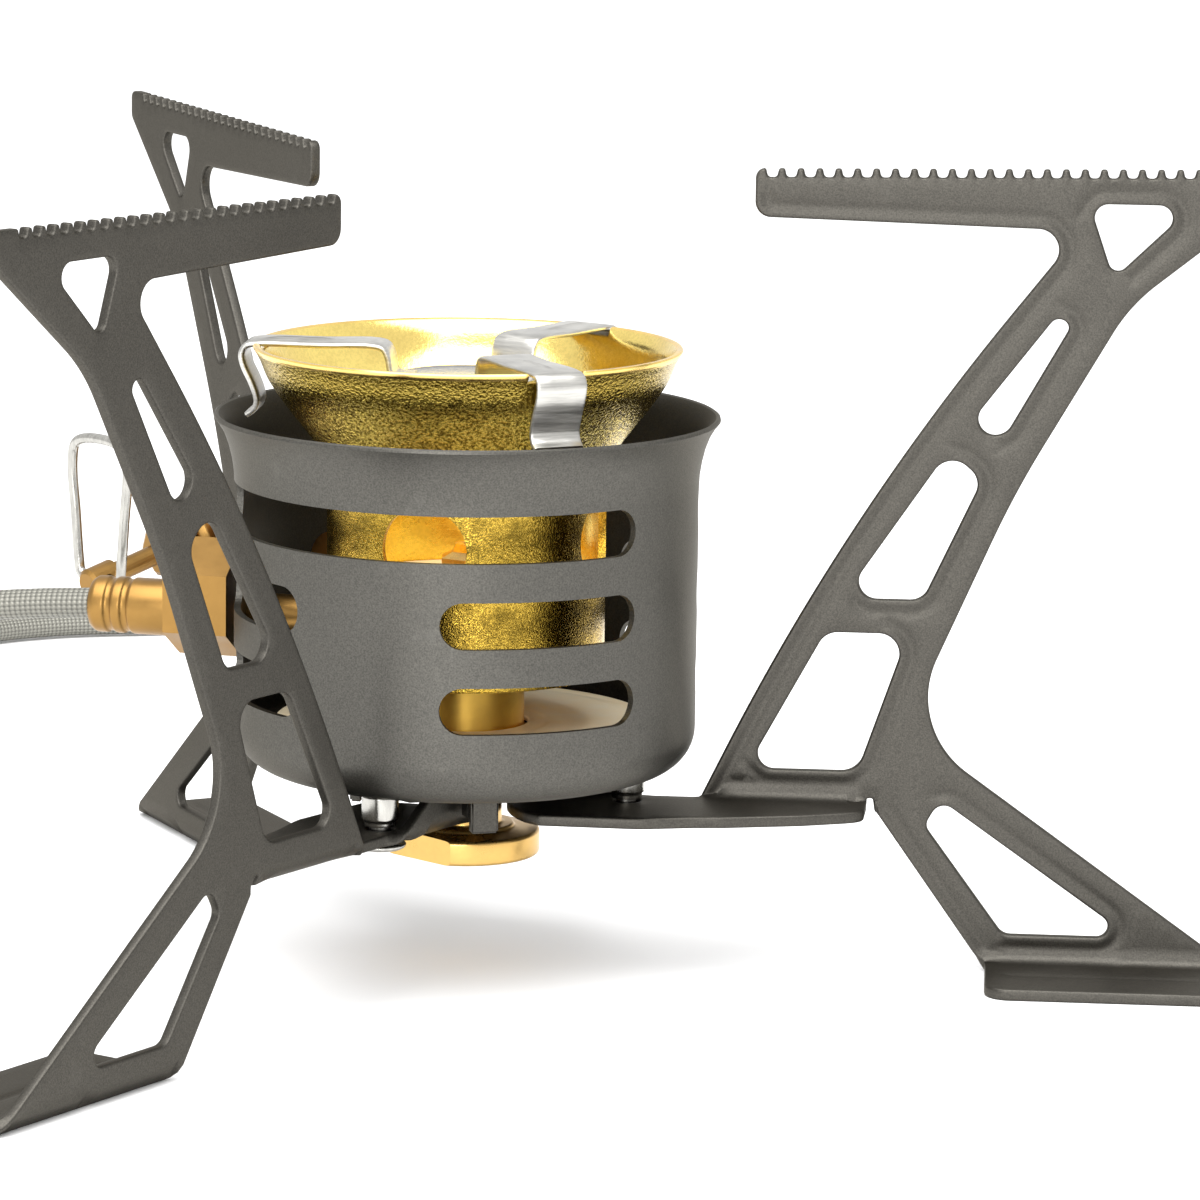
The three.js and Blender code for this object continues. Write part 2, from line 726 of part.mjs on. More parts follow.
function addValve() {
  const holder = new THREE.Group();
  holder.position.copy(VALVE_PLACE);
  holder.rotation.set(0, -rad(VALVE_TILT), rad(VALVE_TURN), "ZYX");
  const ferrule = turned([
    [0, 8.3],
    [FERRULE_RADIUS, 8.3],
    [FERRULE_RADIUS, 16.9],
    [FERRULE_RADIUS - 0.4, 17.5],
    [0, 17.5],
  ], 24).rotateY(Math.PI / 2);
  const seal = new THREE.TorusGeometry(4.4, 0.7, 8, 24).rotateX(Math.PI / 2);
  addPiece("valve_ferrule", ferrule, brass, holder);
  addPiece("valve_body", valveBodyGeometry(), brass, holder);
  addPiece("canister_collar", collarGeometry(), brass, holder);
  addPiece("collar_seal", seal.translate(0, -COLLAR_START - 3.2, 0), rubber, holder);
  addPiece("valve_pin", rod(1.1, 5.6, 16).translate(0, -COLLAR_START - 2.8, 0), brass, holder);
  addPiece("packing_nut", packingNutGeometry(), brass, holder);
  addPiece("valve_spindle", spindleGeometry(), brass, holder);
  addPiece("valve_handle", handleGeometry(), stainless, holder);
  group.add(holder);
}

addLegs();
addBurner();
addInlet();
addHose();
addValve();
group.position.set(AXIS_X, AXIS_Y, 0);

const stove = new THREE.Group();
stove.add(group);

export default stove;
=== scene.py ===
"""Folding camping stove: detailed meshes, materials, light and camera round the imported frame.

Metres, +Z up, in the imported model's frame. Lengths written with MM are millimetres.
"""

import math

import bmesh
import bpy
import numpy as np
from mathutils import Matrix, Vector
from mathutils.geometry import delaunay_2d_cdt


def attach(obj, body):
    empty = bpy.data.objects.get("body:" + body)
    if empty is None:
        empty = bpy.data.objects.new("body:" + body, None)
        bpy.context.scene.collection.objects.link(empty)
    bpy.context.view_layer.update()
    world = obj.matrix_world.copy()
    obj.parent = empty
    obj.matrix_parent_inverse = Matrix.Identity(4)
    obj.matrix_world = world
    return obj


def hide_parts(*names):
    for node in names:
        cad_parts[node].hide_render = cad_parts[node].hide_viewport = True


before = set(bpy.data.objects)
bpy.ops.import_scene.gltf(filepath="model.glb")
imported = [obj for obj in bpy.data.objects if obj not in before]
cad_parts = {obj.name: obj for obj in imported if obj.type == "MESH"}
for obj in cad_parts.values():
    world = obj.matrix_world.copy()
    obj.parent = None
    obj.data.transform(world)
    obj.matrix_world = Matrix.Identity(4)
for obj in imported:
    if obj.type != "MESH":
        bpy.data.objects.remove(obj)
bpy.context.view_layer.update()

MM = 0.001
AXIS = Vector((-15.58, -2.47, 0)) * MM
LEG_AZIMUTHS = (-4, 116, 236)
SPREADER_AZIMUTHS = (-65, 55, 175)
INLET_AZIMUTH = 165
INLET_HEIGHT = 36.3

# ---------- camera and lamps


def spun(degrees, axis="Z"):
    return Matrix.Rotation(math.radians(degrees), 4, axis)


def placed(point, *turns):
    """A matrix that turns a piece about one axis after another and puts it at a point in mm."""
    matrix = Matrix.Translation(Vector(point) * MM)
    for degrees, axis in turns:
        matrix = matrix @ spun(degrees, axis)
    return matrix


def new_object(name, data, place=AXIS):
    thing = bpy.data.objects.new(name, data)
    thing.location = place
    bpy.context.scene.collection.objects.link(thing)
    return thing


def add_camera():
    """A long lens in front of the stove and a little above it."""
    data = bpy.data.cameras.new("camera")
    data.lens = 170.9
    data.sensor_width = 36
    data.clip_end = 20
    camera = new_object("camera", data)
    right = Vector((0.99990, 0.002345, 0.014035))
    up = Vector((-0.014228, 0.177995, 0.983929))
    back = right.cross(up)
    camera.matrix_world = Matrix((right, up, back)).transposed().to_4x4()
    camera.location = Vector((13.862, -583.889, 144.916)) * MM + AXIS
    bpy.context.scene.camera = camera


def add_area(name, place, target, size, power):
    data = bpy.data.lights.new(name, "AREA")
    data.shape = "RECTANGLE"
    data.size, data.size_y = size
    data.energy = power
    aim = Vector(target) - Vector(place)
    light = new_object(name, data, place)
    light.rotation_euler = aim.to_track_quat("-Z", "Y").to_euler()


add_camera()

# ---------- the hose, a free cord

HOSE_RADIUS = 1.6
ON_TABLE = 1.85
HOSE_ROUTE = [
    (-39.89, 10.69, INLET_HEIGHT), (-45.4, 12.2, 35.9), (-51.4, 13.9, 35.2), (-57.6, 16.5, 33.8),
    (-63.6, 20.4, 30.9), (-69.2, 26, 26.2), (-73.9, 33.6, 20), (-77.4, 43.2, 13.4), (-79.8, 54.6, 7.6),
    (-81, 67.2, 3.6), (-81.4, 81, 1.95), (-81.4, 97, ON_TABLE), (-81.4, 113, ON_TABLE),
    (-81.4, 127, ON_TABLE), (-81.2, 141, ON_TABLE), (-79.8, 154.5, ON_TABLE), (-76, 166.6, ON_TABLE),
    (-69.4, 176.2, ON_TABLE), (-60.2, 182.2, ON_TABLE), (-49, 185, ON_TABLE), (-37, 187.2, ON_TABLE),
    (-25, 190.4, ON_TABLE), (-13, 194.6, 1.9), (-2.4, 200, 2.2), (6, 207.2, 3.4), (11, 216.4, 5.6),
    (12.2, 226.6, 8.2), (9.2, 236.2, 10.9), (2.8, 243.6, 13.3), (-5.8, 247.6, 15),
    (-14.4, 247.2, 15.6), (-21.2, 243.6, 15.2), (-26.4, 239.1, 13.71),
]  # fmt: skip


def smooth_line(points, steps):
    """Centripetal Catmull-Rom spline through the points, open at both ends."""
    points = [Vector(p) for p in points]
    points = [2 * points[0] - points[1]] + points + [2 * points[-1] - points[-2]]
    line = []
    for p0, p1, p2, p3 in zip(points, points[1:], points[2:], points[3:]):
        t0 = 0
        t1 = t0 + math.sqrt((p1 - p0).length)
        t2 = t1 + math.sqrt((p2 - p1).length)
        t3 = t2 + math.sqrt((p3 - p2).length)
        for k in range(steps):
            t = t1 + (t2 - t1) * k / steps
            a1 = p0.lerp(p1, (t - t0) / (t1 - t0))
            a2 = p1.lerp(p2, (t - t1) / (t2 - t1))
            a3 = p2.lerp(p3, (t - t2) / (t3 - t2))
            b1 = a1.lerp(a2, (t - t0) / (t2 - t0))
            b2 = a2.lerp(a3, (t - t1) / (t3 - t1))
            line.append(b1.lerp(b2, (t - t1) / (t2 - t1)))
    line.append(points[-2])
    return line


def shade_smooth(mesh, angle):
    """Smooth shading, apart from edges sharper than an angle in degrees."""
    mesh.polygons.foreach_set("use_smooth", [True] * len(mesh.polygons))
    mesh.set_sharp_from_angle(angle=math.radians(angle))


def mesh_data(name, work, smooth_angle=None, outward=True):
    """Turns a bmesh into mesh data, with its faces outwards, and lets go of the bmesh."""
    if outward:
        bmesh.ops.recalc_face_normals(work, faces=work.faces)
    data = bpy.data.meshes.new(name)
    work.to_mesh(data)
    work.free()
    if smooth_angle:
        shade_smooth(data, smooth_angle)
    return data


def band(work, ring, following):
    """One face from each side of a ring of vertices to the same side of the next ring."""
    count = len(ring)
    faces = []
    for k in range(count):
        n = (k + 1) % count
        faces.append(work.faces.new((ring[k], ring[n], following[n], following[k])))
    return faces


def tube_mesh(name, line, radius, sides=24):
    """A closed tube along a line in millimetres, with a map of angle and length for its weave."""
    work = bmesh.new()
    mapping = work.loops.layers.uv.new("length")
    side = (line[1] - line[0]).orthogonal().normalized()
    rings = []
    lengths = [0.0]
    for i, point in enumerate(line):
        along = (line[min(i + 1, len(line) - 1)] - line[max(i - 1, 0)]).normalized()
        side = (side - along * side.dot(along)).normalized()
        other = along.cross(side)
        ring = []
        for k in range(sides):
            angle = 2 * math.pi * k / sides
            offset = side * math.cos(angle) + other * math.sin(angle)
            ring.append(work.verts.new((point + offset * radius) * MM))
        rings.append(ring)
        if i:
            lengths.append(lengths[-1] + (point - line[i - 1]).length)
    for i, (ring, following) in enumerate(zip(rings, rings[1:])):
        reach = (lengths[i], lengths[i], lengths[i + 1], lengths[i + 1])
        for k, face in enumerate(band(work, ring, following)):
            turns = (k / sides, (k + 1) / sides, (k + 1) / sides, k / sides)
            for loop, u, v in zip(face.loops, turns, reach):
                loop[mapping].uv = (u, v)
    work.faces.new(rings[0][::-1])
    work.faces.new(rings[-1])
    return mesh_data(name, work, 35, outward=False)


hose_line = smooth_line(HOSE_ROUTE, 6)
hose = new_object("braided_hose", tube_mesh("braided_hose", hose_line, HOSE_RADIUS))
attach(hose, "stove")
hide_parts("hose")

# ---------- materials


class Nodes:
    """A material's node tree, with short calls that add nodes and return their outputs."""

    def __init__(self, name, color, metallic=1.0, roughness=0.4):
        self.material = bpy.data.materials.new(name)
        self.material.use_nodes = True
        self.material.diffuse_color = (*color, 1)
        self.tree = self.material.node_tree
        self.shader = self.tree.nodes["Principled BSDF"]
        look = {"Base Color": (*color, 1), "Metallic": metallic, "Roughness": roughness}
        self.fill(self.shader, look)
        self.coords = self.tree.nodes.new("ShaderNodeTexCoord").outputs

    def fill(self, node, inputs):
        """Gives each of a node's inputs a constant, or links it to another node's output."""
        for place, value in inputs.items():
            if isinstance(value, bpy.types.NodeSocket):
                self.tree.links.new(value, node.inputs[place])
            else:
                node.inputs[place].default_value = value

    def add(self, kind, inputs, **settings):
        node = self.tree.nodes.new(kind)
        for name, value in settings.items():
            setattr(node, name, value)
        self.fill(node, inputs)
        return node

    def noise(self, scale, detail=2.0, stretch=None, roughness=0.5):
        place = self.coords["Object"]
        if stretch:
            mapping = self.add("ShaderNodeMapping", {"Vector": place, "Scale": stretch})
            place = mapping.outputs["Vector"]
        inputs = {"Vector": place, "Scale": scale, "Detail": detail, "Roughness": roughness}
        return self.add("ShaderNodeTexNoise", inputs).outputs["Fac"]

    def ramp(self, value, stops):
        node = self.add("ShaderNodeValToRGB", {"Fac": value})
        elements = node.color_ramp.elements
        while len(elements) < len(stops):
            elements.new(0.5)
        for element, (position, color) in zip(elements, stops):
            element.position = position
            element.color = (*color, 1)
        return node.outputs["Color"]

    def range(self, value, low, high, start=0.3, end=0.7):
        inputs = {"Value": value, "From Min": start, "From Max": end, "To Min": low, "To Max": high}
        return self.add("ShaderNodeMapRange", inputs).outputs["Result"]

    def mix(self, factor, first, second, blend="MIX"):
        inputs = {0: factor, 6: first, 7: second}
        return self.add("ShaderNodeMix", inputs, data_type="RGBA", blend_type=blend).outputs[2]

    def math(self, operation, first, second=0):
        node = self.add("ShaderNodeMath", {0: first, 1: second}, operation=operation)
        return node.outputs["Value"]

    def bump(self, height, strength, distance, before=None):
        inputs = {"Height": height, "Strength": strength, "Distance": distance}
        if before:
            inputs["Normal"] = before
        return self.add("ShaderNodeBump", inputs).outputs["Normal"]

    def split(self, source):
        return self.add("ShaderNodeSeparateXYZ", {"Vector": self.coords[source]}).outputs

    def finish(self, color, roughness=None, normal=None):
        inputs = {"Base Color": color, "Roughness": roughness, "Normal": normal}
        self.fill(self.shader, {name: value for name, value in inputs.items() if value})
        return self.material


def scaled(color, factor):
    return tuple(min(c * factor, 1) for c in color)


def blasted_titanium(name, color, roughness, grain):
    """Sheet titanium after bead blasting: a fine grain, faint clouds and paler scuffs."""
    n = Nodes(name, color, 1.0, roughness)
    clouds = n.noise(45, 4, roughness=0.6)
    speck = n.noise(grain, 2, roughness=0.7)
    scuff = n.noise(240, 3, roughness=0.7)
    tone = n.ramp(clouds, [(0.3, scaled(color, 0.9)), (0.7, scaled(color, 1.08))])
    dots = n.ramp(speck, [(0.34, (0.62, 0.62, 0.62)), (0.66, (1.0, 0.99, 0.97))])
    tone = n.mix(1.0, tone, dots, "MULTIPLY")
    rubbed = n.range(scuff, 0.0, 0.25, 0.62, 0.75)
    tone = n.mix(rubbed, tone, (*scaled(color, 1.25), 1))
    rough = n.range(clouds, roughness - 0.05, roughness + 0.07)
    n.shader.inputs["Specular Tint"].default_value = (0.7, 0.68, 0.64, 1)
    grains = n.bump(speck, 0.4, 0.035 * MM)
    return n.finish(tone, rough, n.bump(clouds, 0.1, 0.2 * MM, grains))


def textured_gold(name, color, grain, strength, roughness, mottle, painted_shade_heights=None):
    """Brass the colour of gold, blasted to a fine sparkle, or handled until it is mottled.

    The last argument gives two heights in mm: from the lower to the upper the colour is painted darker,
    and above the upper it stays darkest, as painted shade on the band near the top.
    """
    n = Nodes(name, color, 1.0, roughness)
    speck = n.noise(grain, 2, roughness=0.6)
    broad = n.noise(90, 3)
    stains = n.noise(420, 5, stretch=(1, 1, 1.6), roughness=0.75)
    tone = n.ramp(broad, [(0.3, scaled(color, 0.86)), (0.7, scaled(color, 1.1))])
    sparkle = n.ramp(speck, [(0.4, (0.24, 0.22, 0.17)), (0.58, (1.0, 1.0, 1.0))])
    tone = n.mix(strength, tone, sparkle, "MULTIPLY")
    marks = n.range(stains, 0.0, mottle, 0.45, 0.62)
    tone = n.mix(marks, tone, (*scaled(color, 0.3), 1))
    # Painted shade: from the first height the colour darkens towards the second, and it stays darkest
    # higher up.
    if painted_shade_heights:
        painted_shade = n.range(n.split("Object")["Z"], 0.0, 0.8, painted_shade_heights[0] * MM, painted_shade_heights[1] * MM)
        tone = n.mix(painted_shade, tone, (*scaled(color, 0.34), 1))
    rough = n.range(stains, roughness * 0.75, roughness * 1.35)
    surface = n.bump(speck, strength, 0.13 * MM)
    return n.finish(tone, rough, n.bump(stains, 0.25 * mottle, 0.12 * MM, surface))


def turned_brass(name, color, roughness):
    """Brass straight from the lathe: fine tool rings and handling marks."""
    n = Nodes(name, color, 1.0, roughness)
    tool = n.noise(260, 2, stretch=(1, 1, 14), roughness=0.4)
    dull = n.noise(160, 4, roughness=0.65)
    tone = n.ramp(dull, [(0.3, scaled(color, 0.82)), (0.7, scaled(color, 1.1))])
    rough = n.range(dull, roughness - 0.07, roughness + 0.1)
    return n.finish(tone, rough, n.bump(tool, 0.12, 0.04 * MM))


def brushed_steel(name, color, roughness, stretch):
    """Stainless strip with grinding lines along its length and a few dents."""
    n = Nodes(name, color, 1.0, roughness)
    lines = n.noise(1500, 3, stretch=stretch, roughness=0.7)
    dents = n.noise(350, 3, roughness=0.6)
    tone = n.ramp(lines, [(0.35, scaled(color, 0.8)), (0.65, scaled(color, 1.12))])
    rough = n.range(lines, roughness - 0.03, roughness + 0.08)
    surface = n.bump(lines, 0.5, 0.02 * MM)
    return n.finish(tone, rough, n.bump(dents, 0.03, 0.05 * MM, surface))


STRANDS = 10
WINDINGS_PER_MM = 0.85


def braided_sleeve(name, color):
    """Two sets of strands that wind round the hose in opposite ways, over and under."""
    n = Nodes(name, color, 0.55, 0.5)
    mapped = n.split("UV")
    around = n.math("MULTIPLY", mapped["X"], STRANDS)
    along = n.math("MULTIPLY", mapped["Y"], WINDINGS_PER_MM)
    heights = []
    for sign in (1, -1):
        lead = n.math("ADD", around, n.math("MULTIPLY", along, sign))
        wave = n.math("SINE", n.math("MULTIPLY", lead, 2 * math.pi))
        heights.append(n.range(wave, 0, 1, -1, 1))
    check = n.math("MULTIPLY", *heights)
    upper = n.math("MAXIMUM", *heights)
    height = n.math("SUBTRACT", upper, check)
    # Painted shade and highlight: the colour darkens to 0.45 in the hollows of the weave and lightens
    # to 1.15 on the crowns of the strands.
    stops = [(0.05, scaled(color, 0.45)), (0.45, color), (0.9, scaled(color, 1.15))]
    shade = n.ramp(height, stops)
    return n.finish(shade, None, n.bump(height, 0.6, 0.25 * MM))


def satin_sheet(name, color, roughness):
    """Pale heat reflector, faintly rubbed and warmed by heat."""
    n = Nodes(name, color, 0.1, roughness)
    clouds = n.noise(110, 4, roughness=0.6)
    rings = n.noise(900, 2, stretch=(1, 1, 0.2))
    warm = (color[0], color[1] * 0.9, color[2] * 0.74)
    tone = n.ramp(clouds, [(0.35, color), (0.7, warm)])
    rough = n.range(rings, roughness - 0.08, roughness + 0.08)
    return n.finish(tone, rough, n.bump(rings, 0.12, 0.03 * MM))


def seal_material(name):
    """Black rubber with a little dust."""
    n = Nodes(name, (0.018, 0.018, 0.02), 0.0, 0.6)
    dust = n.noise(1200, 3)
    tone = n.ramp(dust, [(0.4, (0.012, 0.012, 0.013)), (0.75, (0.05, 0.05, 0.05))])
    return n.finish(tone, n.range(dust, 0.5, 0.75), n.bump(dust, 0.2, 0.04 * MM))


leg_titanium = blasted_titanium("leg_titanium", (0.093, 0.088, 0.078), 0.46, 6200)
cup_titanium = blasted_titanium("cup_titanium", (0.120, 0.116, 0.105), 0.45, 5600)
# Painted shade: the cup's inner walls and floor get a titanium under half as bright as the outside, for
# the shade inside the cup.
cup_inside_painted_shade = blasted_titanium("cup_inside_painted_shade", (0.052, 0.048, 0.040), 0.5, 5600)
# Painted shade: the bowl's outside is painted darker from 61 mm up to 63.2 mm and above.
bowl_outside = textured_gold("bowl_gold_outside", (1.0, 0.71, 0.14), 3000, 1.0, 0.2, 0.1, (61, 63.2))
bowl_inside = textured_gold("bowl_gold_inside", (0.96, 0.72, 0.22), 2600, 0.12, 0.16, 0.06)
bowl_lip = turned_brass("bowl_lip", (0.92, 0.64, 0.19), 0.24)
tube_gold = textured_gold("tube_gold", (0.82, 0.54, 0.08), 5200, 0.6, 0.2, 0.8)
tube_inside = textured_gold("tube_inside", (1.0, 0.66, 0.10), 2600, 0.1, 0.25, 0.05)
satin_brass = turned_brass("satin_brass", (0.60, 0.38, 0.12), 0.27)
fitting_brass = turned_brass("fitting_brass", (0.30, 0.17, 0.05), 0.36)
column_brass = turned_brass("column_brass", (1.0, 0.60, 0.12), 0.34)
bright_steel = brushed_steel("bright_steel", (0.52, 0.51, 0.48), 0.33, (0.15, 0.15, 2.5))
turned_steel = brushed_steel("turned_steel", (0.45, 0.44, 0.41), 0.2, (1, 1, 0.2))
reflector_sheet = satin_sheet("reflector_sheet", (0.98, 0.88, 0.66), 0.45)
braid = braided_sleeve("braid", (0.23, 0.225, 0.195))
seal_rubber = seal_material("seal_rubber")
hose.data.materials.append(braid)

# ---------- flat outlines for sheet parts


def rounded_outline(corners, pitch=0.45):
    """Corners are (x, y, radius). Arcs and straights are both cut into short steps."""
    points = []
    count = len(corners)
    for i, (x, y, radius) in enumerate(corners):
        here = Vector((x, y))
        back = (Vector(corners[i - 1][:2]) - here).normalized()
        ahead = (Vector(corners[(i + 1) % count][:2]) - here).normalized()
        if not radius:
            points.append(here)
            continue
        half = math.acos(max(-1, min(1, back.dot(ahead)))) / 2
        centre = here + (back + ahead).normalized() * (radius / math.sin(half))
        start = here + back * (radius / math.tan(half)) - centre
        end = here + ahead * (radius / math.tan(half)) - centre
        turn = math.atan2(start.x * end.y - start.y * end.x, start.dot(end))
        steps = max(3, round(abs(turn) * radius / (0.6 * pitch)))
        for k in range(steps + 1):
            c, s = math.cos(turn * k / steps), math.sin(turn * k / steps)
            arm = Vector((start.x * c - start.y * s, start.x * s + start.y * c))
            points.append(centre + arm)
    dense = []
    for a, b in zip(points, points[1:] + points[:1]):
        steps = max(1, round((b - a).length / (1.6 * pitch)))
        dense += [a.lerp(b, k / steps) for k in range(steps)]
    return dense


def edge_pairs(points, closed=True):
    ends = points[1:] + points[:1] if closed else points[1:]
    return [(*a, *b) for a, b in zip(points, ends)]


def distance_to(points, pairs):
    """Shortest distance from each point to any of the line pieces."""
    pairs = np.array(pairs)
    a, b = pairs[:, :2], pairs[:, 2:]
    along = b - a
    squared = np.maximum((along**2).sum(1), 1e-12)
    nearest = np.empty(len(points))
    for start in range(0, len(points), 2000):
        block = points[start : start + 2000, None, :]
        t = np.clip(((block - a) * along).sum(2) / squared, 0, 1)
        gap = block - (a + t[:, :, None] * along)
        nearest[start : start + 2000] = np.sqrt((gap**2).sum(2).min(1))
    return nearest


def inside(points, loops):
    """True for points within the first loop and outside the rest."""
    result = np.zeros(len(points), bool)
    for loop in loops:
        a = np.array(loop)
        b = np.roll(a, -1, axis=0)
        x, y = points[:, :1], points[:, 1:]
        spans = (a[:, 1] > y) != (b[:, 1] > y)
        rise = np.where(a[:, 1] == b[:, 1], 1, b[:, 1] - a[:, 1])
        crossing = a[:, 0] + (y - a[:, 1]) * (b[:, 0] - a[:, 0]) / rise
        result ^= (spans & (x < crossing)).sum(1) % 2 == 1
    return result


def offset_points(pairs, depth, loops, slack):
    """Points one depth to either side of the line pieces, within the loops and near no other."""
    ends = np.array(pairs)
    a, b = ends[:, :2], ends[:, 2:]
    along = (b - a) / np.maximum(np.linalg.norm(b - a, axis=1), 1e-9)[:, None]
    normal = np.stack((-along[:, 1], along[:, 0]), 1)
    points = np.concatenate((a + normal * depth, a - normal * depth))
    points = points[inside(points, loops)]
    return points[np.abs(distance_to(points, pairs) - depth) < slack]


def thin_out(points, gap):
    """Drops points that crowd another, on a grid of cells one gap wide."""
    taken = {}
    kept = []
    for x, y in points:
        cell = (math.floor(x / gap), math.floor(y / gap))
        near = [taken.get((cell[0] + i, cell[1] + j)) for i in (-1, 0, 1) for j in (-1, 0, 1)]
        if all(p is None or math.hypot(p[0] - x, p[1] - y) > 0.75 * gap for p in near):
            taken[cell] = (x, y)
            kept.append((x, y))
    return kept


def sheet_mesh(name, loops, place, thickness, fillet, creases, width, low, spacing):
    """A sheet with rounded edges and, on its rear face, grooves pressed along the creases.

    place turns flat points and their offset from the middle of the sheet into points in space.
    """
    edges = [pair for loop in loops for pair in edge_pairs(loop)]
    flat = [tuple(p) for loop in loops for p in loop]
    border = len(flat)
    for angle in (35, 62, 90):
        depth = fillet * (1 - math.cos(math.radians(angle)))
        flat += offset_points(edges, depth, loops, 0.04 * fillet).tolist()
    for k in range(4):
        ring = offset_points(creases, width * k * 0.55, loops, 0.05)
        ring = ring[distance_to(ring, edges) > fillet * 1.5]
        flat += thin_out(ring, 0.24 * width + 0.12)
    corner = np.array(flat).min(0)
    far = np.array(flat).max(0)
    columns = np.arange(corner[0], far[0], spacing)
    rows = np.arange(corner[1], far[1], spacing)
    grid = [(x + spacing / 2 * (j % 2), y) for j, y in enumerate(rows) for x in columns]
    grid = np.array(grid)
    grid = grid[inside(grid, loops)]
    grid = grid[distance_to(grid, edges) > fillet + 0.3 * spacing]
    grid = grid[distance_to(grid, creases) > 1.65 * width + 0.3 * spacing]
    flat += grid.tolist()
    lines = []
    start = 0
    for loop in loops:
        lines += [(start + k, start + (k + 1) % len(loop)) for k in range(len(loop))]
        start += len(loop)
    verts, _, faces, origin, _, _ = delaunay_2d_cdt([Vector(p) for p in flat], lines, [], 0, 1e-5)
    points = np.array(verts)
    on_border = np.array([any(k < border for k in ids) for ids in origin])
    faces = np.array(faces)
    faces = faces[inside(points[faces].mean(1), loops)]
    depth = np.where(on_border, 0, distance_to(points, edges))
    turn = np.clip(1 - depth / fillet, 0, 1)
    half = thickness / 2 - fillet + fillet * np.sqrt(1 - turn**2)
    groove = np.exp(-((distance_to(points, creases) / width) ** 2)) * low
    groove *= np.clip((depth - fillet) / fillet, 0, 1)
    front = place(points, half)
    rear = place(points, -(half - groove))
    count = len(points)
    solid = faces.tolist()
    sides = dict.fromkeys(pair for a, b, c in solid for pair in ((a, b), (b, c), (c, a)))
    walls = [(b, a, a + count, b + count) for a, b in sides if (b, a) not in sides]
    solid += [(c + count, b + count, a + count) for a, b, c in faces] + walls
    data = bpy.data.meshes.new(name)
    data.from_pydata((np.concatenate((front, rear)) * MM).tolist(), [], solid)
    work = bmesh.new()
    work.from_mesh(data)
    loose = [v for v in work.verts if not v.link_faces]
    bmesh.ops.delete(work, geom=loose, context="VERTS")
    bmesh.ops.recalc_face_normals(work, faces=work.faces)
    work.to_mesh(data)
    work.free()
    shade_smooth(data, 50)
    return data


# ---------- a leg: one bent sheet

BLADE = 4.8
TAB = 17.4
FOOT = 0.6
FOOT_BEND = 1.4
SHEET = 1.2
LEG_END = 82
RIVET = (17, 1.6)
RIVET_HOLE = 1.45
TEETH = 25
TOOTH_PITCH = 1.95
CREASE_INSET = 1.3
CREASE_WIDTH = 0.58
CREASE_DEPTH = 0.2


def bend_radius(x):
    """The tab's bend is tight at both ends of the blade, where it has to let go of the sheet."""
    ends = np.clip((x - 24.4) / 3, 0, 1) * np.clip((42.9 - x) / 3, 0, 1)
    return 0.66 + 0.9 * ends


def tab_row(x, y):
    """Where a point of the level tab lies on the flat sheet."""
    radius = float(bend_radius(np.array(x)))
    return TAB - BLADE + y + radius * (2 - math.pi / 2)


def foot_row(y):
    """The same for a point of the level foot."""
    return FOOT - BLADE + y + FOOT_BEND * (2 - math.pi / 2)


def bent_leg(points, offset):
    """Bends the flat sheet: the tab and the foot turn from upright to level."""
    x, row = points[:, 0], points[:, 1]
    tab = (x < 43.2) & (row < 40)
    level = np.where(tab, TAB, FOOT)
    radius = np.where(tab, bend_radius(x), FOOT_BEND)
    under = level + radius - row
    angle = np.clip(under / radius, 0, math.pi / 2)
    beyond = np.maximum(under - radius * math.pi / 2, 0)
    above = np.maximum(-under, 0)
    y = BLADE - radius + radius * np.cos(angle) - beyond + offset * np.cos(angle)
    z = level + radius - radius * np.sin(angle) + above - offset * np.sin(angle)
    return np.stack((x, y, z), 1)


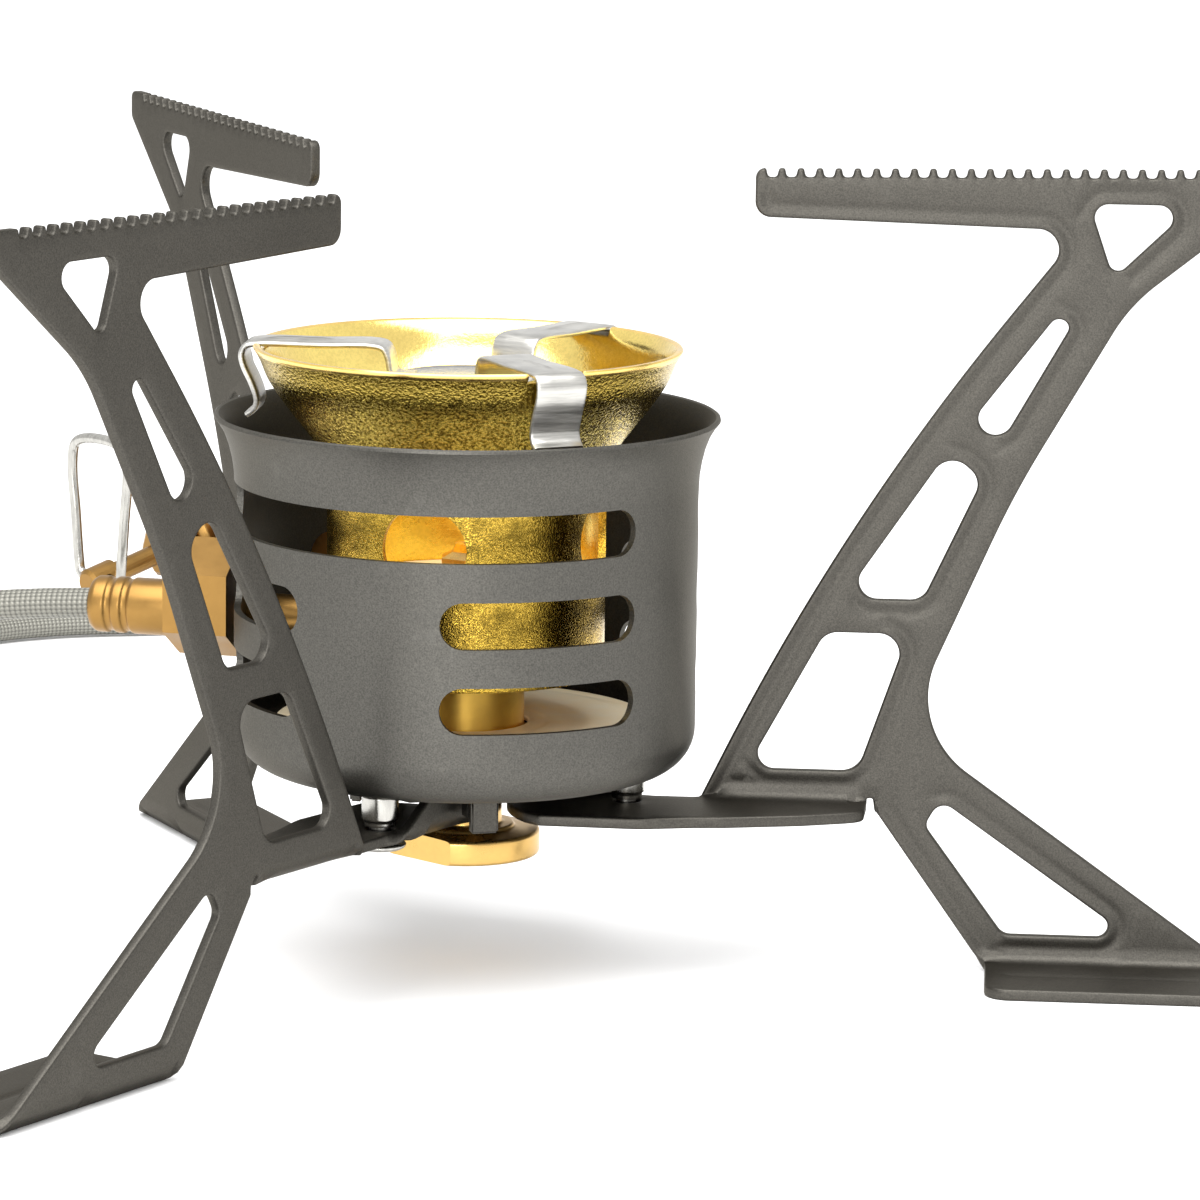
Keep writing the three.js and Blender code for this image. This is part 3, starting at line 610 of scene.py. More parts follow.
def leg_loops():
    """The flat sheet's outline, teeth included, and its cut-outs."""
    tooth = ((-0.68, 0.02, 0.26), (-0.46, -0.9, 0.4), (0.46, -0.9, 0.4), (0.68, 0.02, 0.26))
    teeth = []
    for k in range(TEETH):
        x = 30.9 + TOOTH_PITCH * k
        top = 84.3 + (x - 29.2) * 0.9 / 52.8
        teeth += [(x + side, top + rise, radius) for side, rise, radius in tooth]
    upper = [(29.2, 84.3, 0.95), *teeth, (LEG_END, 85.2, 0.8), (LEG_END, 82.2, 1.2)]
    upper += [(68.1, 71, 18), (56.8, 51.2, 100), (45.9, 25.9, 10), (81, 1, 1.5), (LEG_END, 0.8, 0.3)]
    upper += [(LEG_END, foot_row(-8.2), 4), (54.9, foot_row(-8.2), 2.6), (54.9, 0.2, 0.6)]
    upper += [(42.9, 17.1, 0.4), (42.7, 18.3, 0.25), (42.1, 18.2, 0.2), (41.9, tab_row(41.9, -1), 1.8)]
    upper += [(35.5, tab_row(35.5, -3.8), 10), (19, tab_row(19, -7.6), 6), (8.4, tab_row(8.4, -7.2), 1)]
    pivot = Vector(RIVET)
    arc = []
    for k in range(10):
        angle = math.radians(216 - 75 * k / 9)
        x, y = pivot.x + 12.6 * math.cos(angle), pivot.y + 12.6 * math.sin(angle)
        arc.append((x, tab_row(x, y), 0))
    lower = [(13.2, tab_row(13.2, 8.2), 3), (19, tab_row(19, 4.2), 4), (24.1, tab_row(24.1, 4.2), 0.6)]
    lower += [(24.7, 18.1, 0.7), (39.05, 48, 260), (62.8, 78.6, 2.2), (29.2, 79.35, 1.65)]
    holes = [
        [(63.6, 81.4, 1.4), (74.2, 81.4, 1.4), (66.3, 73.7, 1)],
        [(60.4, 69.5, 1), (62.3, 69.1, 0.9), (55.6, 57.1, 1.9), (51, 57.1, 1.75)],
        [(49.8, 55.4, 2.2), (53.3, 52.4, 2.1), (47.4, 39.5, 2), (39.1, 39.5, 1.9)],
        [(37.4, 35.9, 2.2), (46, 35.9, 2.2), (41, 21.1, 2.4), (29.4, 21.1, 1.7)],
        [(49.8, 18.3, 1.4), (70.3, 4, 1.2), (56.7, 4, 1.6), (48.2, 15.5, 1.3)],
    ]
    outer = rounded_outline(upper + arc + lower)
    x, y = RIVET[0], tab_row(*RIVET)
    rivet = [
        Vector((x + RIVET_HOLE * math.cos(a), y + RIVET_HOLE * math.sin(a)))
        for a in np.arange(0, 2 * math.pi, math.pi / 12)
    ]
    return [outer] + [rounded_outline(hole) for hole in holes] + [rivet]


def pressed_line(loop, is_hole, keep):
    """A line inside the sheet, CREASE_INSET away from the stretches of a loop that keep allows."""
    area = sum(a.x * b.y - a.y * b.x for a, b in zip(loop, loop[1:] + loop[:1]))
    turn = 1 if (area > 0) != is_hole else -1
    lines = []
    for a, b in zip(loop, loop[1:] + loop[:1]):
        along = (b - a).normalized()
        inward = Vector((-along.y, along.x)) * turn
        if keep(a, inward):
            shift = inward * CREASE_INSET
            lines.append((*(a + shift), *(b + shift)))
    return lines


def leg_creases(loops):
    """Grooves beside the inner edge, the arm's underside, the shin and the cut-outs' outer sides."""

    def outer_stretch(point, inward):
        x, y = point
        tip = x < 30.4 and 78 < y < 82
        under_arm = 76 < y < 80.4 and x < 62.5
        slope = 18.6 < y <= 77 and x < 25.7 + (y - 18) * 0.64
        shin = 1 < y < 17.4 and abs(x - (54.9 - y * 0.7)) < 1
        return tip or under_arm or slope or shin

    sides = [
        lambda point, way: way.y > 0.3 or way.x > 0.55,
        lambda point, way: way.x > 0.2,
        lambda point, way: way.x > 0.1 or way.y < -0.5,
        lambda point, way: way.x > 0.2 or way.y < -0.5,
        lambda point, way: way.x > -0.3,
    ]
    lines = pressed_line(loops[0], False, outer_stretch)
    for hole, keep in zip(loops[1:-1], sides):
        lines += pressed_line(hole, True, keep)
    above_tab = [Vector((27 + k, 19.7)) for k in range(16)]
    along_foot = [Vector((57.6 + k, foot_row(-1.6))) for k in range(23)]
    return lines + edge_pairs(above_tab, False) + edge_pairs(along_foot, False)


def stop_ear():
    """The small upturned lug at the tab's inner end that meets the hub's tooth."""
    low, high = TAB - 0.5, 20.4
    work = bmesh.new()
    rings = []
    for degrees in (139, 141, 143.2, 145.2):
        angle = math.radians(degrees)
        way = Vector((math.cos(angle), math.sin(angle)))
        near, far = (Vector(RIVET) + way * reach for reach in (9.6, 12.5))
        corners = ((near, low), (far, low), (far, high), (near, high))
        rings.append([work.verts.new((*point, height)) for point, height in corners])
    for ring, following in zip(rings, rings[1:]):
        band(work, ring, following)
    work.faces.new(rings[0][::-1])
    work.faces.new(rings[-1])
    bmesh.ops.recalc_face_normals(work, faces=work.faces)
    sharp = [e for e in work.edges if e.calc_face_angle(0) > 1]
    bmesh.ops.bevel(work, geom=sharp, offset=0.22, segments=3, affect="EDGES")
    bmesh.ops.scale(work, vec=(MM, MM, MM), verts=work.verts)
    return work


def leg_mesh():
    loops = leg_loops()
    grooves = (leg_creases(loops), CREASE_WIDTH, CREASE_DEPTH)
    data = sheet_mesh("leg_sheet", loops, bent_leg, SHEET, 0.26, *grooves, 1.5)
    work = stop_ear()
    work.from_mesh(data)
    work.to_mesh(data)
    work.free()
    shade_smooth(data, 50)
    data.materials.append(leg_titanium)
    return data


def add_piece(name, mesh, node, material=None, body="stove", place=AXIS, azimuth=0):
    """Adds a visible piece on a body, in place of a CAD node. A turned piece gets its own mesh."""
    mesh = mesh.copy() if azimuth else mesh
    mesh.transform(spun(azimuth))
    thing = new_object(name, mesh, place)
    if material:
        mesh.materials.clear()
        mesh.materials.append(material)
    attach(thing, body)
    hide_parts(node)


leg = leg_mesh()
for number, azimuth in enumerate(LEG_AZIMUTHS, 1):
    name = f"leg_{number}"
    add_piece(f"pressed_{name}", leg, name, body=name, azimuth=azimuth)

# ---------- turned and cut pieces


def lathe(name, profile, segments):
    """Turns a closed profile of (radius, height) about Z."""
    work = bmesh.new()
    rings = []
    for radius, height in profile:
        if radius < 1e-6:
            rings.append([work.verts.new((0, 0, height * MM))])
            continue
        ring = []
        for k in range(segments):
            angle = 2 * math.pi * k / segments
            place = (radius * math.cos(angle), radius * math.sin(angle), height)
            ring.append(work.verts.new([c * MM for c in place]))
        rings.append(ring)
    pairs = list(zip(rings, rings[1:]))
    if len(rings[0]) > 1 and len(rings[-1]) > 1:
        pairs.append((rings[-1], rings[0]))
    for ring, following in pairs:
        for k in range(segments):
            n = (k + 1) % segments
            corners = [ring[k % len(ring)], ring[n % len(ring)]]
            corners += [following[n % len(following)], following[k % len(following)]]
            unique = list(dict.fromkeys(corners))
            if len(unique) > 2:
                work.faces.new(unique)
    return mesh_data(name, work, 40)


def rounded_profile(points, radius=0.2, steps=3):
    """Rounds the corners of a closed profile, except those on the axis."""
    result = []
    for i, point in enumerate(points):
        here = Vector(point)
        before, after = Vector(points[i - 1]), Vector(points[(i + 1) % len(points)])
        reach = min(radius, 0.45 * (before - here).length, 0.45 * (after - here).length)
        if here.x < 1e-6 or reach < 0.02:
            result.append(tuple(here))
            continue
        start = here + (before - here).normalized() * reach
        end = here + (after - here).normalized() * reach
        for k in range(steps + 1):
            t = k / steps
            curve = start * (1 - t) ** 2 + here * 2 * t * (1 - t) + end * t * t
            result.append(tuple(curve))
    return result


def modified(mesh, *steps):
    """The mesh after the modifiers that the steps add, applied in order."""
    holder = new_object("work", mesh, (0, 0, 0))
    for kind, values in steps:
        modifier = holder.modifiers.new(kind, kind)
        for key, value in values.items():
            setattr(modifier, key, value)
    bpy.context.view_layer.update()
    graph = bpy.context.evaluated_depsgraph_get()
    result = bpy.data.meshes.new_from_object(holder.evaluated_get(graph))
    bpy.data.objects.remove(holder)
    return result


def combined(mesh, operation, others, bevel, bevel_from=30):
    """The mesh cut by others or joined to them. Edges past an angle in degrees are rounded."""
    holders = [new_object("other", other, (0, 0, 0)) for other in others]
    steps = [
        ("BOOLEAN", {"operation": operation, "object": holder, "solver": "EXACT"})
        for holder in holders
    ]
    edge = {"width": bevel * MM, "segments": 2, "limit_method": "ANGLE"}
    edge["angle_limit"] = math.radians(bevel_from)
    result = modified(mesh, *steps, ("BEVEL", edge))
    for holder in holders:
        bpy.data.objects.remove(holder)
    return result


def cut_away(mesh, cutters, bevel):
    return combined(mesh, "DIFFERENCE", cutters, bevel, 50)


def turned_normals(mesh, profile):
    """Gives the walls that the cutters left the turned surface's normals, so they stay smooth."""
    line = np.array(profile)
    way = np.roll(line, -1, 0) - line
    length = np.maximum(np.linalg.norm(way, axis=1), 1e-6)
    normal = np.stack((way[:, 1], -way[:, 0]), 1) / length[:, None]
    before = np.roll(normal, 1, 0)
    gentle = (normal * before).sum(1) > 0.75
    first = np.where(gentle[:, None], normal + before, normal)
    last = np.where(np.roll(gentle, -1)[:, None], normal + np.roll(normal, -1, 0), normal)
    first /= np.linalg.norm(first, axis=1)[:, None]
    last /= np.linalg.norm(last, axis=1)[:, None]

    places = np.array([vertex.co for vertex in mesh.vertices]) / MM
    radius = np.hypot(places[:, 0], places[:, 1])
    points = np.stack((radius, places[:, 2]), 1)
    gap = np.full(len(points), 1e9)
    turned = np.zeros((len(points), 2))
    for k in range(len(line)):
        share = np.clip(((points - line[k]) @ way[k]) / length[k] ** 2, 0, 1)[:, None]
        distance = np.linalg.norm(points - line[k] - share * way[k], axis=1)
        nearer = distance < gap
        gap[nearer] = distance[nearer]
        turned[nearer] = (first[k] * (1 - share) + last[k] * share)[nearer]
    outward = places[:, :2] / np.maximum(radius, 1e-6)[:, None]
    smooth = np.concatenate((outward * turned[:, :1], turned[:, 1:]), 1)

    corners = [loop.vertex_index for loop in mesh.loops]
    faces = np.array([face.normal for face in mesh.polygons])
    faces = np.repeat(faces, [face.loop_total for face in mesh.polygons], 0)
    own = np.array([item.vector for item in mesh.corner_normals])
    agree = (smooth[corners] * faces).sum(1)
    on_wall = (np.abs(agree) > 0.97) & (gap[corners] < 0.03)
    chosen = np.where(on_wall[:, None], smooth[corners] * np.sign(agree)[:, None], own)
    mesh.normals_split_custom_set(chosen.tolist())
    return mesh


def prism(outline, low, high):
    """A straight prism over a flat outline of (x, y) points."""
    work = bmesh.new()
    bottom = [work.verts.new((x * MM, y * MM, low * MM)) for x, y in outline]
    top = [work.verts.new((x * MM, y * MM, high * MM)) for x, y in outline]
    work.faces.new(bottom[::-1])
    work.faces.new(top)
    band(work, bottom, top)
    return mesh_data("prism", work)


def turned_mesh(mesh, matrix):
    mesh.transform(matrix)
    return mesh


# ---------- the slotted cup

SLOT_HEIGHT = 4.8
FIRST_SLOT = -69.2
CUP_RADIUS = 24.1
CUP_WALL = 0.7
CUP_FLOOR = 21.8
HUB_HOLE = 3.0
PIPE_HOLE = 2.5
QUARTER = 1.5708


def slot_cutter(azimuth, span, height):
    """A curved bar with round ends, as wide as the slot it cuts."""
    half = SLOT_HEIGHT / 2
    width = math.radians(span) * CUP_RADIUS / 2 - half
    flat = max(4, round(2 * width / 0.8))
    bends = np.linspace(-QUARTER, QUARTER, 17)
    outline = [(width + half * math.cos(a), half * math.sin(a)) for a in bends]
    outline += [(width - 2 * width * k / flat, half) for k in range(1, flat)]
    outline += [(-width - half * math.cos(a), -half * math.sin(a)) for a in bends]
    outline += [(-width + 2 * width * k / flat, -half) for k in range(1, flat)]
    work = bmesh.new()
    rings = []
    for reach in (21.5, 27.0):
        ring = []
        for x, z in outline:
            angle = math.radians(azimuth) + x / CUP_RADIUS
            place = (reach * math.cos(angle), reach * math.sin(angle), height + z)
            ring.append(work.verts.new(Vector(place) * MM))
        rings.append(ring)
    band(work, *rings)
    top = {round(x, 4): k for k, (x, z) in enumerate(outline) if z > 0}
    bottom = {round(x, 4): k for k, (x, z) in enumerate(outline) if z < 0}
    bridge = sorted(set(top) & set(bottom))
    right_end = [k for k, (x, _) in enumerate(outline) if x >= bridge[-1] - 1e-4]
    left_end = [k for k, (x, _) in enumerate(outline) if x <= bridge[0] + 1e-4]
    for ring in rings:
        for left, right in zip(bridge, bridge[1:]):
            corners = (top[left], top[right], bottom[right], bottom[left])
            work.faces.new([ring[k] for k in corners])
        work.faces.new([ring[k] for k in right_end])
        work.faces.new([ring[k] for k in left_end])
    return mesh_data("slot", work)


def cup_profile():
    """The cup's section: hub hole, floor, round corner, wall and flared rim."""
    bend = np.linspace(0, QUARTER, 14)
    outer = [(HUB_HOLE, CUP_FLOOR)]
    outer += [(19.7 + 4.4 * math.sin(a), 26.2 - 4.4 * math.cos(a)) for a in bend]
    outer += [(CUP_RADIUS, z) for z in (29, 35, 41, 47, 51.5)]
    outer += [(24.16, 52.8), (24.38, 54.2), (24.72, 55.6), (25.2, 56.9), (25.8, 57.9)]
    outer.append((26.25, 58.45))
    rim = [(26.2, 58.7), (25.98, 58.85), (25.75, 58.72)]
    inner = []
    for (x0, z0), (x1, z1) in zip(outer[-2::-1], outer[:0:-1]):
        run, rise = x1 - x0, z1 - z0
        size = math.hypot(run, rise)
        inner.append((x0 - CUP_WALL * rise / size, z0 + CUP_WALL * run / size))
    inner[-1] = (HUB_HOLE, CUP_FLOOR + CUP_WALL)
    return outer + rim + inner


def drilled(azimuth, height, radius, near, far, segments):
    """A round cutter that points outwards from the axis."""
    drill = lathe("drill", [(0, near), (radius, near), (radius, far), (0, far)], segments)
    return turned_mesh(drill, placed((0, 0, height), (azimuth, "Z"), (90, "Y")))


def make_cup():
    profile = cup_profile()
    shell = lathe("cup_shell", profile, 256)
    cutters = []
    for k in range(4):
        azimuth = FIRST_SLOT + 90 * k
        cutters.append(slot_cutter(azimuth, 51.4, 32))
        cutters.append(slot_cutter(azimuth, 51.4, 40.7))
    for azimuth in (FIRST_SLOT - 45, FIRST_SLOT + 135):
        cutters.append(slot_cutter(azimuth, 141.4, 49.4))
    cutters.append(drilled(INLET_AZIMUTH, INLET_HEIGHT, PIPE_HOLE, 20, 28, 48))
    return turned_normals(cut_away(shell, cutters, 0.08), profile)


def line_inside(mesh, material, floor=0.0):
    """Gives a second material to faces that look towards the axis, or up from below a height."""
    mesh.materials.append(material)
    for face in mesh.polygons:
        outward = face.center.xy.dot(face.normal.xy) / face.center.xy.length
        upward = face.normal.z > 0.5 and face.center.z < floor
        face.material_index = 1 if outward < -0.5 or upward else 0


cup = make_cup()
add_piece("slotted_cup", cup, "cup", cup_titanium)
# Painted shade: faces that look towards the axis, and the floor below 30 mm, take the darkened inner
# titanium.
line_inside(cup, cup_inside_painted_shade, 30 * MM)

# ---------- burner tube and bowl


TUBE_INNER = 13.7
TUBE_OUTER = 14.5
TUBE_WINDOW = 4.5
FIRST_WINDOW = -106.6


def make_tube():
    """The burner tube, with four round windows and a hole for the gas pipe."""
    levels = np.linspace(32.3, 52.7, 18)
    profile = [(TUBE_INNER, 32), (TUBE_OUTER, 32)] + [(TUBE_OUTER, z) for z in levels]
    profile += [(TUBE_OUTER, 53), (TUBE_INNER, 53)] + [(TUBE_INNER, z) for z in levels[::-1]]
    profile = rounded_profile(profile, 0.12, 2)
    shell = lathe("tube_shell", profile, 160)
    cutters = [drilled(FIRST_WINDOW + 90 * k, 46.5, TUBE_WINDOW, 9, 18, 64) for k in range(4)]
    cutters.append(drilled(INLET_AZIMUTH, INLET_HEIGHT, PIPE_HOLE, 9, 18, 32))
    return turned_normals(cut_away(shell, cutters, 0.1), profile)


LIP_BASE = 65.2


def bowl_section(points):
    return [(p.x, p.y) for p in smooth_line([(*point, 0) for point in points], 6)]


def make_bowl():
    """Spun brass bowl with a rolled lip and a notch for each arm of the spreader."""
    outer = [(14.5, 53.3), (14.75, 54.1), (16.3, 56.4), (18.8, 59.6), (20.7, 62.4)]
    outer += [(21.55, 64.4), (22.05, 65.3)]
    lip = [(22.2, 65.5), (22.24, 65.7), (22.1, 65.86), (21.8, 65.88), (21.5, 65.72)]
    inner = [(20.85, 64.3), (19.95, 62.3), (18.1, 59.7), (15.6, 56.6), (14, 54.4), (13.7, 53.3)]
    shell = lathe("bowl_shell", bowl_section(outer) + lip + bowl_section(inner), 224)
    cutters = []
    for azimuth in SPREADER_AZIMUTHS:
        block = prism([(18, -3.0), (26, -3.0), (26, 3.0), (18, 3.0)], 64.9, 68)
        swing = spun(azimuth)
        cutters.append(turned_mesh(block, swing))
    data = cut_away(shell, cutters, 0.08)
    data.materials.clear()
    for material in (bowl_outside, bowl_inside, bowl_lip):
        data.materials.append(material)
    for face in data.polygons:
        centre = face.center / MM
        reach = math.hypot(centre.x, centre.y)
        outward = (face.normal.x * centre.x + face.normal.y * centre.y) / reach
        face.material_index = 2 if centre.z > LIP_BASE else int(outward < 0.1)
    return data


tube = make_tube()
add_piece("burner_tube", tube, "mixing_tube", tube_gold)
line_inside(tube, tube_inside)
add_piece("spun_bowl", make_bowl(), "burner_bowl")

# ---------- flame spreader


ARM_WIDTH = 5.4
ARM_THICKNESS = 0.6


def strip_mesh(name, line, width, thickness, rib):
    """A bent strip with soft edges. rib is (start, end, height) of a raised line on it."""
    line = [Vector((x, 0, z)) for x, z in line]
    across = np.array([-1, -0.97, -0.9, -0.4, -0.16, -0.07, 0, 0.07, 0.16, 0.4, 0.9, 0.97, 1])
    work = bmesh.new()
    rings = []
    for i, point in enumerate(line):
        along = (line[min(i + 1, len(line) - 1)] - line[max(i - 1, 0)]).normalized()
        normal = Vector((-along.z, 0, along.x))
        level = point.x if along.x > 0.9 else -1
        inside_rib = min(max((level - rib[0]) / 0.8, 0), 1)
        inside_rib *= min(max((rib[1] - level) / 0.8, 0), 1)
        ring = []
        for side in (1, -1):
            for s in across if side > 0 else across[::-1]:
                edge = max(0, (abs(s) - 0.9) / 0.1)
                soft = thickness / 2 * math.sqrt(max(0.25, 1 - edge**2))
                lift = rib[2] * inside_rib * math.exp(-((s / 0.1) ** 2))
                place = point + normal * (side * soft + lift) + Vector((0, s * width / 2, 0))
                ring.append(work.verts.new(place * MM))
        rings.append(ring)
    for ring, following in zip(rings, rings[1:]):
        band(work, ring, following)
    work.faces.new(rings[0])
    work.faces.new(rings[-1])
    return mesh_data(name, work, 60)


def spreader_arm():
    """One arm: it rises from the disc, lies over the lip and hooks down outside the bowl."""
    corners = [(5.6, 62.5), (7.0, 62.5), (7.7, 62.9), (8.1, 64.6), (8.6, 65.5), (9.6, 65.8)]
    corners += [(15.0, 65.75), (22.2, 65.7), (23.0, 65.4), (23.35, 64.6), (23.1, 63.4), (22.3, 61.7)]
    corners += [(21.8, 60.3), (21.75, 59.5), (22.1, 58.8), (22.8, 58.3)]
    line = smooth_line([(x, 0, z) for x, z in corners], 5)
    rib = (13.5, 20.5, 0.22)
    return strip_mesh("spreader_arm", [(p.x, p.z) for p in line], ARM_WIDTH, ARM_THICKNESS, rib)


dish = [(0, 62.1), (6.6, 62.1), (7.4, 62.3), (7.45, 62.7), (7.2, 62.8), (6.5, 62.62), (0, 62.7)]
dish_mesh = lathe("spreader_disc", dish, 96)
add_piece("spreader_disc", dish_mesh, "flame_spreader", turned_steel)
arm = spreader_arm()
arm.materials.append(bright_steel)
for number, azimuth in enumerate(SPREADER_AZIMUTHS, 1):
    name = f"spreader_arm_{number}"
    add_piece(name, arm, "flame_spreader", azimuth=azimuth)

# ---------- small burner pieces


def fine_lathe(node, profile, material, segments, matrix=Matrix()):
    """Replaces a faceted CAD node with a smoothly turned copy that has softened edges."""
    mesh = lathe(f"turned_{node}", rounded_profile(profile, 0.22), segments)
    mesh.transform(matrix)
    add_piece(f"turned_{node}", mesh, node, material)


def softened(node, width, material, body="stove"):
    """Replaces a CAD node with a copy whose edges are rounded."""
    angle = math.radians(24)
    values = {"width": width * MM, "segments": 3, "limit_method": "ANGLE", "angle_limit": angle}
    mesh = modified(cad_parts[node].data.copy(), ("BEVEL", values))
    shade_smooth(mesh, 30)
    add_piece(f"soft_{node}", mesh, node, material, body, Vector((0, 0, 0)))


def make_nut():
    """A thin round nut with two flats, and a collar on top."""
    profile = [(2.9, 12.4), (8, 12.4), (8, 15.0), (5.4, 15.2), (5.2, 15.6), (4, 15.6), (4, 19.4)]
    profile.append((2.9, 19.4))
    shell = lathe("nut_shell", rounded_profile(profile, 0.4), 128)
    cutters = []
    for side in (1, -1):
        block = prism([(-12, 6.6), (12, 6.6), (12, 12), (-12, 12)], 11, 16.6)
        swing = spun(47 - 90 * side)
        cutters.append(turned_mesh(block, swing))
    return cut_away(shell, cutters, 0.18)


add_piece("flat_nut", make_nut(), "base_nut", satin_brass)

PIVOT = Matrix.Translation(Vector((*RIVET, 0)) * MM)
for number, azimuth in enumerate(LEG_AZIMUTHS, 1):
    swing = spun(azimuth) @ PIVOT
    rivet = [(0, 15.9), (2.2, 15.9), (2.7, 16.2), (2.7, 16.5), (1.1, 16.5), (1.1, 22.9)]
    rivet += [(2.6, 22.9), (2.3, 23.5), (1.2, 23.8), (0, 23.9)]
    fine_lathe(f"leg_rivet_{number}", rivet, turned_steel, 48, swing)
    spacer = [(1.4, 18.3), (1.6, 18.3), (1.6, 18.8), (1.9, 19.0), (1.9, 21.5), (1.4, 21.5)]
    fine_lathe(f"leg_spacer_{number}", spacer, turned_steel, 48, swing)

column = [(0, 13.2), (2.6, 13.2), (2.6, 22.9), (6.2, 22.9), (6.2, 24.6), (7.2, 24.6), (7.2, 25.6)]
column += [(6.2, 25.6), (6.2, 31), (5.9, 31.3), (5.9, 32), (6.2, 32.3), (6.2, 39.6), (5.8, 40)]
column += [(3, 40), (3, 41.6), (0, 41.6)]
fine_lathe("jet_column", column, column_brass, 96)
rings = [(6.6, 25.9), (19.6, 25.9), (20, 26.1), (19.8, 26.5), (18.6, 26.35), (17.4, 26.5), (9, 26.5)]
rings += [(8.4, 26.35), (6.6, 26.5)]
fine_lathe("heat_reflector", rings, reflector_sheet, 128)
closing = [(3.3, 40.3), (13.4, 40.3), (13.4, 41.1), (11, 41.1), (10.4, 40.9), (3.3, 41.1)]
fine_lathe("tube_floor", closing, reflector_sheet, 96)
softened("jet_nozzle", 0.12, satin_brass)

# ---------- gas inlet


def crimped(start, end):
    """A ferrule's profile with two rolled grooves near the hose."""
    section = ((3, -0.5), (2.78, -0.25), (2.78, 0.25), (3, 0.5))
    grooves = []
    for share in (0.55, 0.75):
        middle = start + share * (end - start)
        grooves += [(radius, middle + shift) for radius, shift in section]
    return [(0, start), (3, start), *grooves, (3, end - 0.6), (2.6, end), (0, end)]


INLET = placed((0, 0, INLET_HEIGHT), (INLET_AZIMUTH, "Z"), (90, "Y"))
pipe = [(1, 6.5), (2.2, 6.5), (2.2, 24.2), (1, 24.2)]
fine_lathe("inlet_pipe", pipe, fitting_brass, 48, INLET)
softened("inlet_block", 0.35, fitting_brass)
fine_lathe("stove_ferrule", crimped(31.8, 41), fitting_brass, 72, INLET)

# ---------- canister valve

VALVE_LEAN = 13.5
VALVE = placed((-38.8, 226.7, 9.5), (45, "Z"), (-VALVE_LEAN, "Y"))
TO_HOSE = VALVE @ spun(90, "Y")
TO_CANISTER = VALVE @ spun(90, "X")


def make_valve_body():
    """The valve's barrel, joined to the boss that carries the canister socket."""
    barrel = [(0, -10.3), (4.6, -10.3), (5.5, -9.4), (5.5, -6.6), (5.2, -6.3), (5.2, -5.9)]
    barrel += [(5.5, -5.6), (5.5, 7), (4.5, 8), (0, 8)]
    boss = [(0, 0), (5, 0), (5, 7.5), (0, 7.5)]
    first = turned_mesh(lathe("barrel", rounded_profile(barrel, 0.2), 96), TO_HOSE)
    second = turned_mesh(lathe("boss", rounded_profile(boss, 0.2), 96), TO_CANISTER)
    return combined(first, "UNION", [second], 0.15)


GRIP_RIDGES = 60


def make_collar():
    """The canister socket, with a milled grip round it."""
    low, high = 7.8, 18.8
    profile = [(1.5, low), (8, low), (9.5, low + 1.5), (9.5, low + 2.2), (9.1, low + 2.5)]
    profile += [(9.1, high - 1.8), (9.5, high - 1.5), (9.5, high - 0.5), (9, high)]
    profile += [(6.1, high), (5.6, high - 0.5), (5.6, low + 2.2), (1.5, low + 2.2)]
    shell = lathe("collar_shell", rounded_profile(profile, 0.15), 180)
    grip = [(8.6, low + 2.9), (9.45, low + 2.9), (9.45, high - 2.2), (8.6, high - 2.2)]
    ring = lathe("grip", grip, 240)
    for vertex in ring.vertices:
        reach = math.hypot(vertex.co.x, vertex.co.y)
        if reach > 9 * MM:
            angle = math.atan2(vertex.co.y, vertex.co.x)
            factor = 1 - 0.022 * (0.5 + 0.5 * math.cos(GRIP_RIDGES * angle))
            vertex.co.x *= factor
            vertex.co.y *= factor
    return turned_mesh(combined(shell, "UNION", [ring], 0.03), TO_CANISTER)


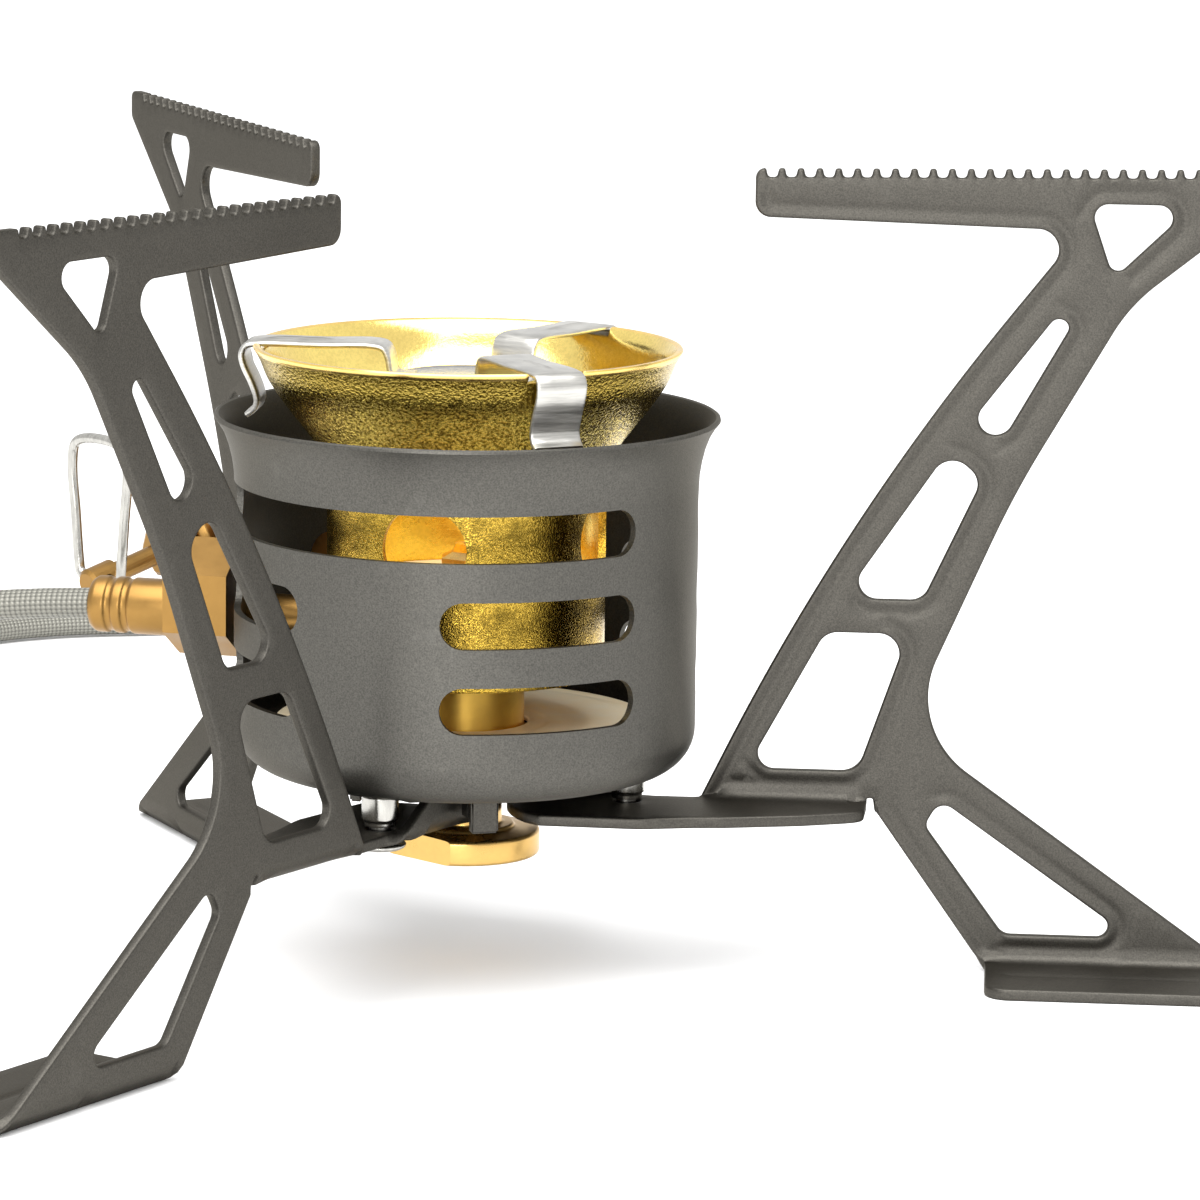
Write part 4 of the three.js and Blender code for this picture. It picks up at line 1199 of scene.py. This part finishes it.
fine_lathe("valve_ferrule", crimped(8.3, 17.5), fitting_brass, 72, TO_HOSE)
add_piece("valve_barrel", make_valve_body(), "valve_body", fitting_brass)
add_piece("milled_collar", make_collar(), "canister_collar", fitting_brass)
seal = [(4.4 + 0.7 * math.cos(a), 11 + 0.7 * math.sin(a)) for a in np.arange(0, 6.2, 0.35)]
fine_lathe("collar_seal", seal, seal_rubber, 72, TO_CANISTER)
pin = [(0, 7.8), (1.1, 7.8), (1.1, 12.4), (0.5, 13.3), (0, 13.4)]
fine_lathe("valve_pin", pin, satin_brass, 32, TO_CANISTER)
softened("packing_nut", 0.25, fitting_brass)
softened("valve_spindle", 0.15, fitting_brass, "spindle")


def make_loop():
    """The folding wire handle, bent from one length of wire."""
    half = [(0.4, 0), (3, 0), (4.2, 0.7), (4.6, 2.4), (5.3, 9), (6, 16), (5.4, 18.8), (3.4, 19.8)]
    points = half + [(-y, z) for y, z in reversed(half)]
    mesh = tube_mesh("wire_loop", smooth_line([(0, y, z) for y, z in points], 8), 0.75, 20)
    return turned_mesh(mesh, VALVE @ placed((-26, 0, 0), (VALVE_LEAN, "Y")))


add_piece("wire_loop", make_loop(), "valve_handle", turned_steel, "handle")
hub_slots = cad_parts["hub_plate"].data.materials
hub_slots.clear()
hub_slots.append(leg_titanium)

ON_THE_VALVE = ["turned_valve_ferrule", "valve_barrel", "milled_collar", "turned_collar_seal"]
ON_THE_VALVE += ["turned_valve_pin", "soft_packing_nut", "soft_valve_spindle", "wire_loop"]

# ---------- floor and light


def add_floor():
    """A plain pale floor."""
    n = Nodes("floor_paper", (0.93, 0.93, 0.93), 0.0, 0.8)
    grain = n.noise(8, 3)
    tone = n.ramp(grain, [(0.3, (0.925, 0.925, 0.925)), (0.7, (0.935, 0.935, 0.935))])
    n.finish(tone)
    work = bmesh.new()
    bmesh.ops.create_grid(work, x_segments=4, y_segments=4, size=6)
    data = mesh_data("floor", work, outward=False)
    data.materials.append(n.material)
    new_object("floor", data, Vector((0, 0, 0)))


def add_lights():
    """An even white studio with one wide softbox overhead, and whites that stay white."""
    world = bpy.data.worlds.new("studio")
    world.use_nodes = True
    sky = world.node_tree.nodes["Background"].inputs
    sky["Color"].default_value = (1, 1, 1, 1)
    sky["Strength"].default_value = 1.04
    bpy.context.scene.world = world
    bpy.context.scene.view_settings.view_transform = "Standard"
    add_area("softbox", (-0.1, -0.35, 1.0), (-0.01, 0, 0.04), (1.2, 1.1), 20)
    add_area("front_light", (-0.2, -1.1, 0.3), (0, 0, 0.05), (0.5, 0.35), 5)


add_floor()
add_lights()
